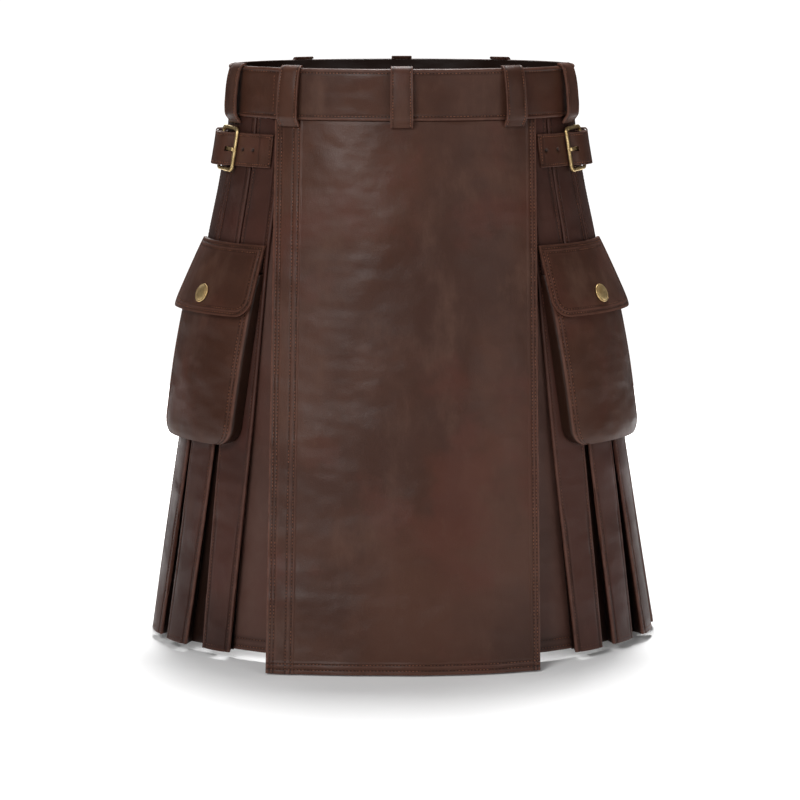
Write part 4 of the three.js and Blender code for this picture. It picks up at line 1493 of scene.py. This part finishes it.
@dataclass
class HipStrap:
    """A buckled strap at one hip: billet, chape, keeper, buckle and prong."""

    word: str
    side: int
    drop: float = 86
    width: float = 34
    thickness: float = 2.2
    tip: float = 285
    tip_round: float = 12
    slot: tuple[float, float] = (199.6, 203.8)
    chape_thickness: float = 1.6
    chape_end: float = 328
    chape_slot: tuple[float, float] = (217, 232)
    pivot_along: float = 226
    pivot_out: float = 5.9
    eye_radius: float = 4.5
    keeper: tuple[float, float] = (240, 252)
    keeper_outs: tuple[float, float] = (0.8, 11.9)
    keeper_thickness: float = 1.3
    keeper_play: float = 0.7
    buckle_along: float = 208
    buckle_out: float = 4.4
    billet_cut: tuple[float, float] = (0.15, 0.034)
    chape_cut: tuple[float, float] = (0.17, 0.034)
    keeper_cut: tuple[float, float] = (0.1, 0.012)
    finish: LeatherFinish = LeatherFinish("leather_straps", seed=23.0)

    ROW_SHARE = 0.84
    CHAPE_ROW_RISE = 14.3
    CHAPE_ROW_STARTS = (290, 300)
    CHAPE_ROW_END = 4
    BILLET_LINE = ((165, 2), (187, 2), (193, 2.2), (198, 5.2), (203, 9.2), (208, 11.8), (215, 12.9),
                   (223, 13), (229, 12.4), (235, 10.2), (241, 8.2), (246, 7.9), (266, 7.9))
    HOLES = {"left": (165.0, 181.0), "right": (159.0, 176.0)}
    CREASES = {"left": 156.5, "right": 155.5}

    def at(self, along: np.ndarray, rise: np.ndarray | float, out: np.ndarray | float) -> np.ndarray:
        """Finds a point of the strap.

        Args:
            along: Distances along its middle.
            rise: Rises over its middle.
            out: Distances outwards.

        Returns:
            Points in millimetres.
        """
        angle = self.side * FORM.angle(self.drop, along)
        return FORM.at_angle(self.drop - rise, angle, out)

    @staticmethod
    def shares() -> np.ndarray:
        """Returns the shares of a strip's half width at which it has points."""
        share = np.array([0.045, 0.09, 0.14, 0.3, 0.5, 0.72, 0.79, 0.84, 0.89, 0.95, 1.0])
        return np.concatenate([-share[::-1], [0], share])

    def ribbon(self, name: str, line: np.ndarray, half: np.ndarray, thickness: float,
               slot: tuple[float, float]) -> Wall:
        """Draws a strip of leather that follows a line, with a slot for the prong.

        Args:
            name: The object's name.
            line: Rows of along and out.
            half: Half the strip's width at each row.
            thickness: Its thickness.
            slot: Where the slot starts and ends.

        Returns:
            The wall.
        """
        share = self.shares()
        groove = -0.3 * np.exp(-(((np.abs(share) - self.ROW_SHARE) / 0.05) ** 2))
        walls = []
        for distance in (-thickness / 2, thickness / 2):
            moved = offset_line(line, distance)
            lift = groove[None, :] if distance < 0 else 0
            walls.append(self.at(moved[:, :1], half[:, None] * share, moved[:, 1:] + lift))
        missing = np.zeros((len(line) - 1, len(share) - 1), bool)
        middle = (line[1:, 0] + line[:-1, 0]) / 2
        missing[np.ix_((middle > slot[0]) & (middle < slot[1]), np.abs(share[1:] + share[:-1]) < 0.25)] = True
        wear = 0.6 * np.exp(-(((1 - np.abs(share)) / 0.05) ** 2))
        # Painted shade along the stitch rows.
        painted_shade = 0.9 * np.exp(-(((np.abs(share) - self.ROW_SHARE) / 0.04) ** 2))
        marks = {"wear": np.tile(wear, (len(line), 1)), "painted_shade": np.tile(painted_shade, (len(line), 1))}
        return Wall(name, *walls, marks, missing=missing)

    @staticmethod
    def end_row(start: float, rise: np.ndarray) -> np.ndarray:
        """Returns where the row across the billet's stitched end runs, a little aslant."""
        return start + 2.6 + 0.06 * rise

    def punch(self, billet: Wall, line: np.ndarray, half: np.ndarray) -> None:
        """Presses the holes, the crease and the rows of the stitched end into the billet, each with painted
        shade.

        Args:
            billet: The billet's wall.
            line: Its rows of along and out.
            half: Half its width at each row.
        """
        start = line[0, 0]
        rise = half[:, None] * self.shares()
        along = line[:, :1] + 0 * rise
        hole = sum(np.exp(-((np.hypot(along - at, rise) / 1.9) ** 6)) for at in self.HOLES[self.word])
        crease = np.exp(-(((along - self.CREASES[self.word] - 0.05 * rise) / 0.8) ** 2))
        sewn = np.exp(-(((along - self.end_row(start, rise)) / 0.7) ** 2))
        sewn = sewn * (np.abs(rise) < 0.86 * self.width / 2)
        inward = billet.back - billet.front
        inward /= np.linalg.norm(inward, axis=-1, keepdims=True)
        billet.front += inward * (1.7 * hole + 0.5 * crease + 0.35 * sewn)[..., None]
        # Painted shade in the holes, the crease and the end's stitch row.
        billet.marks["painted_shade"] = np.clip(billet.marks["painted_shade"] + hole * 1.5 + 0.5 * crease + 0.9 * sewn, 0, 1)

    def build(self, apron: Apron, seam: Seam) -> None:
        """Builds and dresses the strap's pieces.

        Args:
            apron: The over apron, under whose edge the billet starts.
            seam: Rows of stitches to add to.
        """
        edge = -apron.top_left if self.side < 0 else apron.top_right
        half_width = float(table_at(FORM_ROWS, self.drop, "half_width"))
        start = FORM.along(self.drop, math.degrees(math.asin((edge + 2) / half_width))) + 0.3
        tips = [(self.tip - self.tip_round * (1 - s), 7.2) for s in (0.35, 0.75, 1)]
        line = resampled(np.array([(start, 1.9), *self.BILLET_LINE, *tips]), 1.1)
        near = np.clip((line[:, 0] - (self.tip - self.tip_round)) / self.tip_round, 0, 1)
        half = self.width / 2 * (1 - 0.45 * near**2.2)
        wall = self.ribbon(f"billet_{self.word}_leather", line, half, self.thickness, self.slot)
        self.punch(wall, line, half)
        billet = wall.build()
        dress(billet, Dye.leather(self.finish), Slot.STRAP, f"billet_{self.word}")
        outer = offset_line(line, -self.thickness / 2)[3:-4]
        for mirror in (-1, 1):
            rise = mirror * self.ROW_SHARE * half[3:-4]
            row = self.at(outer[:, 0], rise, outer[:, 1] - 0.25)
            seam.along(row, self.at(outer[:, 0], rise, outer[:, 1] + 1) - row)
        rise = np.linspace(-self.ROW_SHARE, self.ROW_SHARE, 16) * self.width / 2
        across = self.at(self.end_row(start, rise), rise, 1.9 + self.thickness / 2 - 0.2)
        seam.along(across, self.at(self.end_row(start, rise), rise, 4.5) - across)
        self.build_chape(seam)
        self.build_keeper()
        self.build_buckle()

    def build_chape(self, seam: Seam) -> None:
        """Builds the chape, which is doubled round the pivot and sewn to the pleats behind.

        Args:
            seam: Rows of stitches to add to.
        """
        turns, reach = np.radians(np.arange(75, 286, 15)), self.eye_radius
        eye = [(self.pivot_along + reach * math.cos(a), self.pivot_out + reach * math.sin(a)) for a in turns]
        top = [(262, 5.5), (250, 5.5), (238, 5.5), (232, 7.2)]
        tail = [(232, 3.2), (245, 3.3), (262, 3.45), (274, 1.7), (300, 1.7), (self.chape_end, 1.7)]
        line = resampled(np.array([*top, *eye, *tail]), 1.5)
        half = np.full(len(line), self.width / 2)
        wall = self.ribbon(f"chape_{self.word}_leather", line[::-1], half, self.chape_thickness,
                           self.chape_slot)
        chape = wall.build()
        dress(chape, Dye.leather(self.finish), Slot.STRAP, f"chape_{self.word}")
        first, second = self.CHAPE_ROW_STARTS
        last = self.chape_end - self.CHAPE_ROW_END
        rows = np.linspace(first, last, 30)
        for rise in (-self.CHAPE_ROW_RISE, self.CHAPE_ROW_RISE):
            points = self.at(rows, rise, 2.3)
            seam.along(points, self.at(rows, rise, 3.4) - points)
        rise = np.linspace(-14, 14, 20)
        for along in (last, second):
            points = self.at(np.full(20, along), rise, 2.4)
            seam.along(points, self.at(np.full(20, along), rise, 3.4) - points)

    def build_keeper(self) -> None:
        """Builds the keeper, a narrow band round both layers of the strap."""
        rows = np.linspace(*self.keeper, 9)
        inside = (self.width / 2 + self.keeper_play, self.keeper_outs[0] + self.keeper_thickness,
                  self.keeper_outs[1] - self.keeper_thickness)
        walls = []
        for extra in (self.keeper_thickness, 0.0):
            corner = 1.2 + extra
            half, low, high = inside[0] + extra, inside[1] - extra, inside[2] + extra
            path = []
            for turn, (x, y) in enumerate(((half - corner, low + corner), (half - corner, high - corner),
                                           (corner - half, high - corner), (corner - half, low + corner))):
                path += [(x + corner * math.sin(a), y - corner * math.cos(a))
                         for a in math.pi / 2 * (turn + np.linspace(0, 1, 6))]
                if turn in (1, 3):
                    level = high if turn == 1 else low
                    path += [(x * share, level) for share in np.linspace(0.9, -0.9, 15)]
            path = np.array(path)
            walls.append(self.at(rows[:, None], path[None, :, 0], path[None, :, 1]))
        middle = sum(self.keeper) / 2
        edge = np.exp(-((((self.keeper[1] - middle) - np.abs(rows - middle)) / 0.9) ** 2)) * 0.8
        wear = np.repeat(edge[:, None], walls[0].shape[1], axis=1)
        made = Wall(f"keeper_{self.word}_leather", *walls, {"wear": wear}, ring=True, bevel=0.3).build()
        dress(made, Dye.leather(self.finish), Slot.STRAP, f"keeper_{self.word}")

    def build_buckle(self) -> None:
        """Models the buckle's frame as one bent brass bar and seats it on the strap."""
        seat = seat_on(lambda a, b: self.at(self.buckle_along + a, b, self.buckle_out), self.side)
        frame_piece = BuckleFrame().build(f"buckle_frame_{self.word}_brass")
        settle(frame_piece, seat)
        dress(frame_piece, Dye.brass(BUCKLE_BRASS), Slot.BUCKLE, f"buckle_frame_{self.word}")


# The cargo pockets


@dataclass
class CargoPocket:
    """A bellows pocket at one hip with a snapped flap."""

    word: str
    side: int
    angle: float = 63.2
    half_width: float = 63
    corner: float = 17
    crown: float = 1.4
    wall: float = 1.4
    back_out: float = 1
    flap_top: float = 182
    flap_hem: float = 254
    flap_top_half: float = 60.5
    flap_hem_half: float = 67
    flap_corner: float = 18
    flap_thickness: float = 2.8
    flap_top_out: float = 0.9
    flap_hem_out: float = 22
    snap_drop: float = 234.5
    seam_gap: float = 0.3
    # How dark the painted shade over the gusset and the bag's back is.
    gusset_painted_shade: float = 0.8
    bag_cut: tuple[float, float] = (0.30, 0.21)
    flap_cut: tuple[float, float] = (0.13, 0.078)
    finish: LeatherFinish = LeatherFinish("leather_pockets", seed=29.0, red_share=0.45)

    REACH = (ReachRow(212, 9.2), ReachRow(231, 13), ReachRow(258, 16.4), ReachRow(322, 18.8),
             ReachRow(371, 18.4), ReachRow(380, 17.4), ReachRow(388, 15.2))
    FLAP_ROWS = (3.2, 7.6)
    BAG_ROWS = (2.4, 6.5)
    BAG_ROW_SHARES = (0.955, 0.892)

    def at(self, across: np.ndarray, drop: np.ndarray | float, out: np.ndarray | float) -> np.ndarray:
        """Finds a point of the pocket.

        Args:
            across: Distances from its middle line, positive backwards.
            drop: Drops.
            out: Distances outwards.

        Returns:
            Points in millimetres.
        """
        drop = np.asarray(drop, float)
        centre = np.vectorize(lambda d: FORM.along(d, self.angle))(drop)
        return FORM.at(drop, self.side * (centre + across), out)

    @staticmethod
    def rounded(half: np.ndarray | float, corner: float, above: np.ndarray | float) -> np.ndarray:
        """Returns half the width of a panel with rounded lower corners."""
        short = np.clip(corner - np.asarray(above, float), 0, corner)
        return half - corner + np.sqrt(np.maximum(0, corner**2 - short**2))

    def bag_ring(self, drop: float, inset: float) -> tuple[np.ndarray, np.ndarray, np.ndarray]:
        """Draws the bag's closed outline at a drop.

        Args:
            drop: The drop.
            inset: 0 for the outside, the wall's thickness for the inside.

        Returns:
            Points in millimetres, their wear and their painted shade.
        """
        bottom = self.REACH[-1].drop
        half = float(self.rounded(self.half_width, self.corner, bottom - drop)) - inset
        reach = float(table_at(self.REACH, drop, "reach"))
        r = min(3.0, reach / 3)
        fine = np.array([1, 0.985, 0.97, 0.955, 0.94, 0.92, 0.905, 0.892, 0.879, 0.86])
        front = np.concatenate([fine, np.linspace(0.8, -0.8, 21), -fine[::-1]])
        edge = (half - r) * front
        sewn = sum(np.exp(-(((np.abs(front) - at) / 0.013) ** 2)) for at in self.BAG_ROW_SHARES)
        crown = -self.crown * front**4 - 0.4 * sewn + 0.3 * smooth((np.abs(front) - 0.86) / 0.02)
        uneven = waves(edge, np.full(len(edge), drop), 3.3 * self.side, 0.8) * (1 - front**4)
        face = [(u, reach + c + w - inset) for u, c, w in zip(edge, crown, uneven)]
        turn = np.radians([20, 45, 70])
        edge_out = reach - self.crown
        left = [(-(half - r) - r * math.sin(a), edge_out - inset - r + r * math.cos(a)) for a in turn]
        right = [(-x, y) for x, y in left[::-1]]
        low = self.back_out + inset
        side = [(-half, low + (edge_out - r - low) * s) for s in (0.85, 0.5, 0.15)]
        back = [(u * half, low) for u in np.linspace(-1, 1, 17)]
        path = np.array(face + left + side + back + [(-x, y) for x, y in side[::-1]] + right)
        level = min(drop, bottom - inset)
        wear, painted_shade = np.zeros(len(path)), np.zeros(len(path))
        ridge = np.exp(-(((np.abs(front) - 0.925) / 0.02) ** 2))
        wear[:len(face)] = 0.5 * ridge + 0.5 * (np.abs(front) > 0.98)
        wear[len(face)] = wear[-1] = 0.5
        # Painted shade along the front's stitch rows, and over the gusset and the bag's back.
        painted_shade[:len(face)] = 0.9 * np.clip(sewn, 0, 1)
        painted_shade[len(face) + 1:-1] = self.gusset_painted_shade
        return self.at(path[:, 0], np.full(len(path), level), path[:, 1]), wear, painted_shade

    def build_bag(self) -> None:
        """Builds and dresses the bag."""
        bottom = self.REACH[-1].drop
        drops = np.concatenate([np.arange(212, bottom - 18, 7),
                                bottom - np.array([17, 15, 13, 11, 9, 7, 5.4, 4, 2.8, 1.8, 1, 0.4, 0])])
        outer = [self.bag_ring(drop, 0) for drop in drops]
        inner = [self.bag_ring(drop, self.wall) for drop in drops]
        front, wear, painted_shade = (np.array([ring[k] for ring in outer]) for k in range(3))
        back = np.array([ring[0] for ring in inner])
        wear[0] = np.maximum(wear[0], 0.5)
        made = Wall(f"pocket_bag_{self.word}_leather", front, back, {"wear": wear, "painted_shade": painted_shade}, ring=True,
                    capped=True, bevel=0.3).build()
        nodes = (f"pocket_bag_{self.word}", f"pocket_front_{self.word}")
        dress(made, Dye.leather(self.finish), Slot.POCKET, *nodes)
        log.info("%s: %d faces", made.name, len(made.data.polygons))

    def flap_down(self, drop: np.ndarray) -> np.ndarray:
        """Returns how far down the flap each drop is, 0 at its top and 1 at its hem."""
        return (drop - self.flap_top) / (self.flap_hem - self.flap_top)

    def flap_side(self, drop: np.ndarray) -> np.ndarray:
        """Returns how far its straight sides are from the flap's middle line."""
        return self.flap_top_half + (self.flap_hem_half - self.flap_top_half) * self.flap_down(drop)

    def flap_half(self, drop: np.ndarray) -> np.ndarray:
        """Returns half the flap's width, with its rounded corners."""
        return self.rounded(self.flap_side(drop), self.flap_corner, self.flap_hem - drop)

    def flap_out(self, drop: np.ndarray) -> np.ndarray:
        """Returns how far out the flap's inner face stands."""
        share = np.clip(self.flap_down(drop), 0, 1) ** 0.95
        return self.flap_top_out + (self.flap_hem_out - self.flap_top_out) * share

    def flap_at(self, share: np.ndarray, drop: np.ndarray, extra: np.ndarray | float) -> np.ndarray:
        """Finds a point of the flap.

        Args:
            share: Shares of its half width, -1 to 1.
            drop: Drops.
            extra: Distance out of its inner face.

        Returns:
            Points in millimetres.
        """
        return self.at(share * self.flap_half(drop), drop, self.flap_out(drop) + extra)

    def flap_edge(self, across: np.ndarray, drop: np.ndarray) -> np.ndarray:
        """Finds how far points of the flap lie inside its outline.

        Args:
            across: Distances from the flap's middle line.
            drop: Drops.

        Returns:
            Distances in millimetres.
        """
        beside, below = self.flap_side(drop) - np.abs(across), self.flap_hem - drop
        dx, dy = self.flap_corner - beside, self.flap_corner - below
        bend = self.flap_corner - np.hypot(np.maximum(dx, 0), np.maximum(dy, 0))
        inside = np.where((dx > 0) & (dy > 0), bend, np.minimum(beside, below))
        return np.minimum(inside, drop - self.flap_top)

    def build_flap(self, seam: Seam) -> None:
        """Builds and dresses the flap.

        Args:
            seam: Rows of stitches to add to.
        """
        fine = np.array([0, 0.5, 1.2, 2, 2.6, 3.2, 3.8, 4.6, 5.6, 6.4, 7, 7.6, 8.2, 9, 10.5, 12, 14, 16.5])
        drops = np.concatenate([self.flap_top + fine, np.linspace(self.flap_top + 21, self.flap_hem - 21, 5),
                                self.flap_hem - fine[::-1]])
        edges = 1 - fine / self.flap_hem_half
        share = np.concatenate([-edges, np.linspace(-0.7, 0.7, 21), edges[::-1]])
        drop = np.repeat(drops[:, None], len(share), axis=1)
        across = np.repeat(share[None, :], len(drops), axis=0)
        inside = self.flap_edge(across * self.flap_half(drop), drop)
        rows = sum(np.exp(-(((inside - at) / 0.8) ** 2)) for at in self.FLAP_ROWS)
        plump = 0.5 * smooth((self.FLAP_ROWS[1] + 1.8 - inside) / 2)
        relief = waves(across * 66, drop, 2.2 * self.side, 0.5) - 0.45 * rows + plump - 0.5
        front = self.flap_at(across, drop, self.flap_thickness + relief)
        back = self.flap_at(across, drop, 0)
        wear = np.exp(-((inside / 1.4) ** 2)) * 0.6 + np.exp(-(((inside - 5.4) / 1.1) ** 2)) * 0.5
        wear = wear + np.exp(-(((inside - 9.6) / 0.9) ** 2)) * 0.2
        # Painted shade along the stitch rows.
        marks = {"wear": wear, "painted_shade": rows * 0.9}
        made = Wall(f"pocket_flap_{self.word}_leather", front, back, marks).build()
        dress(made, Dye.leather(self.finish), Slot.POCKET, f"pocket_flap_{self.word}")
        for inset in self.FLAP_ROWS:
            points = self.outline(inset, self.flap_thickness - 0.5)
            seam.along(points, self.outline(inset, self.flap_thickness + 1) - points)
        log.info("%s: %d faces", made.name, len(made.data.polygons))

    def outline(self, inset: float, extra: float) -> np.ndarray:
        """Draws a closed line inside the flap's edge.

        Args:
            inset: The distance inside the edge.
            extra: The distance out of the flap's inner face.

        Returns:
            Points in millimetres.
        """
        corner = max(2.0, self.flap_corner - inset)
        top, hem = self.flap_top + inset, self.flap_hem - inset
        down = np.linspace(top, hem - corner, 24)
        turn = np.linspace(0, math.pi / 2, 9)[1:]
        half, low = self.flap_side(down) - inset, self.flap_side(hem) - inset
        bend = np.stack([low - corner + corner * np.cos(turn), hem - corner + corner * np.sin(turn)], 1)
        right = np.vstack([np.stack([half, down], 1), bend])
        across = np.linspace(right[-1, 0], -right[-1, 0], 30)[1:-1]
        over = np.linspace(-half[0], half[0], 30)[1:]
        path = np.vstack([right, np.stack([across, np.full(28, hem)], 1), (right * [-1, 1])[::-1],
                          np.stack([over, np.full(29, top)], 1)])
        return self.at(path[:, 0], path[:, 1], self.flap_out(path[:, 1]) + extra)

    def build_snap(self) -> None:
        """Models the snap's cap and seats it on the flap."""
        out = self.flap_thickness + self.seam_gap
        seat = seat_on(lambda a, b: self.flap_at(np.array(a / self.flap_hem_half),
                                                 np.array(self.snap_drop - b), out), self.side)
        cap = SnapCap().build(f"snap_cap_{self.word}_brass")
        settle(cap, seat)
        dress(cap, Dye.brass(SNAP_BRASS), Slot.SNAP, f"snap_cap_{self.word}")

    def build(self, seam: Seam) -> None:
        """Builds the bag, the flap and the bag's stitches.

        Args:
            seam: Rows of stitches to add to.
        """
        self.build_bag()
        self.build_flap(seam)
        self.build_snap()
        bottom = self.REACH[-1].drop
        drops = np.linspace(225, bottom - 6, 60)
        reach = table_at(self.REACH, drops, "reach")
        for inset in self.BAG_ROWS:
            half = self.rounded(self.half_width, self.corner, bottom - drops) - 3 - inset
            out = reach - self.crown * (half / (half + inset)) ** 4
            for mirror in (-1, 1):
                points = self.at(mirror * half, drops, out)
                seam.along(points, self.at(mirror * half, drops, out + 1) - points)


# The studio


@dataclass
class Studio:
    """The pale floor, the soft lights and the camera at the photograph's angle."""

    eye: tuple[float, float, float] = (-0.0018, -3.225, 0.1724)
    aim: tuple[float, float, float] = (-0.0018, 0.0, -0.3335)
    lens: float = 136.67
    floor_z: float = -0.5845
    floor_radius: float = 1.8
    floor_sides: int = 96
    floor_white: float = 0.92
    floor_rough: float = 0.95
    floor_gloss: float = 0.1
    floor_glow: float = 0.04
    edge_glow: float = 1.0
    glow_start: float = 1.0
    glow_end: float = 1.6
    sky_light: float = 0.12
    sky_seen: float = 1.1

    LAMP_AIM = (0, 0, -0.28)
    LAMPS = (("key", (-1.2, -2.7, 1.3), 64, 1.3), ("fill", (1.9, -2.5, 0.6), 20, 1.5),
             ("top_back", (0.1, 0.9, 2.3), 120, 0.9), ("back", (-0.9, 2.7, 1.1), 20, 1.5))

    def build(self) -> None:
        """Builds the floor, the lights and the camera, under a sky that looks white and lights little."""
        world = bpy.data.worlds.new("studio_light")
        bpy.context.scene.world = world
        world.use_nodes = True
        tree = world.node_tree
        sky = tree.nodes["Background"]
        sky.inputs["Color"].default_value = (1, 1, 1, 1)
        rays = tree.nodes.new("ShaderNodeLightPath")
        level = tree.nodes.new("ShaderNodeMapRange")
        level.inputs["To Min"].default_value = self.sky_light
        level.inputs["To Max"].default_value = self.sky_seen
        tree.links.new(rays.outputs["Is Camera Ray"], level.inputs["Value"])
        tree.links.new(level.outputs["Result"], sky.inputs["Strength"])
        self.floor()
        for lamp in self.LAMPS:
            self.lamp(*lamp)
        camera = bpy.data.objects.new("camera", bpy.data.cameras.new("camera"))
        bpy.context.scene.collection.objects.link(camera)
        camera.data.lens = self.lens
        camera.location = self.eye
        camera.rotation_euler = (Vector(self.aim) - Vector(self.eye)).to_track_quat("-Z", "Y").to_euler()
        bpy.context.scene.camera = camera
        bpy.context.scene.view_settings.view_transform = "Standard"

    def floor(self) -> None:
        """Builds the white floor, a disc that glows towards its edge to meet the white behind it."""
        turn = np.arange(self.floor_sides) * 2 * math.pi / self.floor_sides
        x, y = self.floor_radius * np.cos(turn), self.floor_radius * np.sin(turn)
        points = np.stack([x, y, np.full(self.floor_sides, self.floor_z)], axis=1).tolist()
        mesh = bpy.data.meshes.new("studio_floor")
        mesh.from_pydata(points, [], [tuple(range(self.floor_sides))])
        floor = bpy.data.objects.new("studio_floor", mesh)
        bpy.context.scene.collection.objects.link(floor)
        n = Nodes("studio_white")
        n.shader.inputs["Base Color"].default_value = (*[self.floor_white] * 3, 1)
        n.shader.inputs["Roughness"].default_value = self.floor_rough
        n.shader.inputs["Specular IOR Level"].default_value = self.floor_gloss
        n.shader.inputs["Emission Color"].default_value = (1, 1, 1, 1)
        away = n.tree.nodes.new("ShaderNodeVectorMath")
        away.operation = "LENGTH"
        n.link(n.place, away.inputs[0])
        glow = n.ranged(away.outputs["Value"], self.glow_start, self.glow_end, self.floor_glow,
                        self.edge_glow)
        n.link(glow, n.shader.inputs["Emission Strength"])
        mesh.materials.append(n.material)

    def lamp(self, name: str, place: tuple[float, float, float], power: float, size: float) -> None:
        """Adds a soft area light aimed at the kilt.

        Args:
            name: The light's name.
            place: Where it is, in metres.
            power: Its power in watts.
            size: Its width in metres.
        """
        data = bpy.data.lights.new(name, "AREA")
        data.energy, data.size = power, size
        light = bpy.data.objects.new(name, data)
        bpy.context.scene.collection.objects.link(light)
        light.location = place
        light.rotation_euler = (Vector(self.LAMP_AIM) - Vector(place)).to_track_quat("-Z", "Y").to_euler()


def dress_carried_nodes() -> None:
    """Gives the solids that stay shown their materials."""
    for word in SIDES:
        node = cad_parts[f"buckle_prong_{word}"]
        node.data.materials.clear()
        node.data.materials.append(Dye.brass(BUCKLE_BRASS))


def main() -> None:
    """Builds the kilt's pieces in order, then the studio."""
    logging.basicConfig(level=logging.INFO, format="%(message)s")
    apron, pleats, band = Apron(), Pleats(), Waistband()
    apron.build()
    pleats.build()
    UnderApron().build(pleats)
    band.build()
    BeltLoops().build(band, apron)
    for word, side in SIDES.items():
        strap_seam = Seam(f"strap_stitches_{word}", pitch=3)
        HipStrap(word, side).build(apron, strap_seam)
        strap_seam.build(THREAD, Slot.STRAP)
        pocket_seam = Seam(f"pocket_stitches_{word}")
        CargoPocket(word, side).build(pocket_seam)
        pocket_seam.build(THREAD, Slot.POCKET)
        log.info("%s strap and pocket", word)
    dress_carried_nodes()
    Studio().build()


if __name__ == "__main__":
    main()
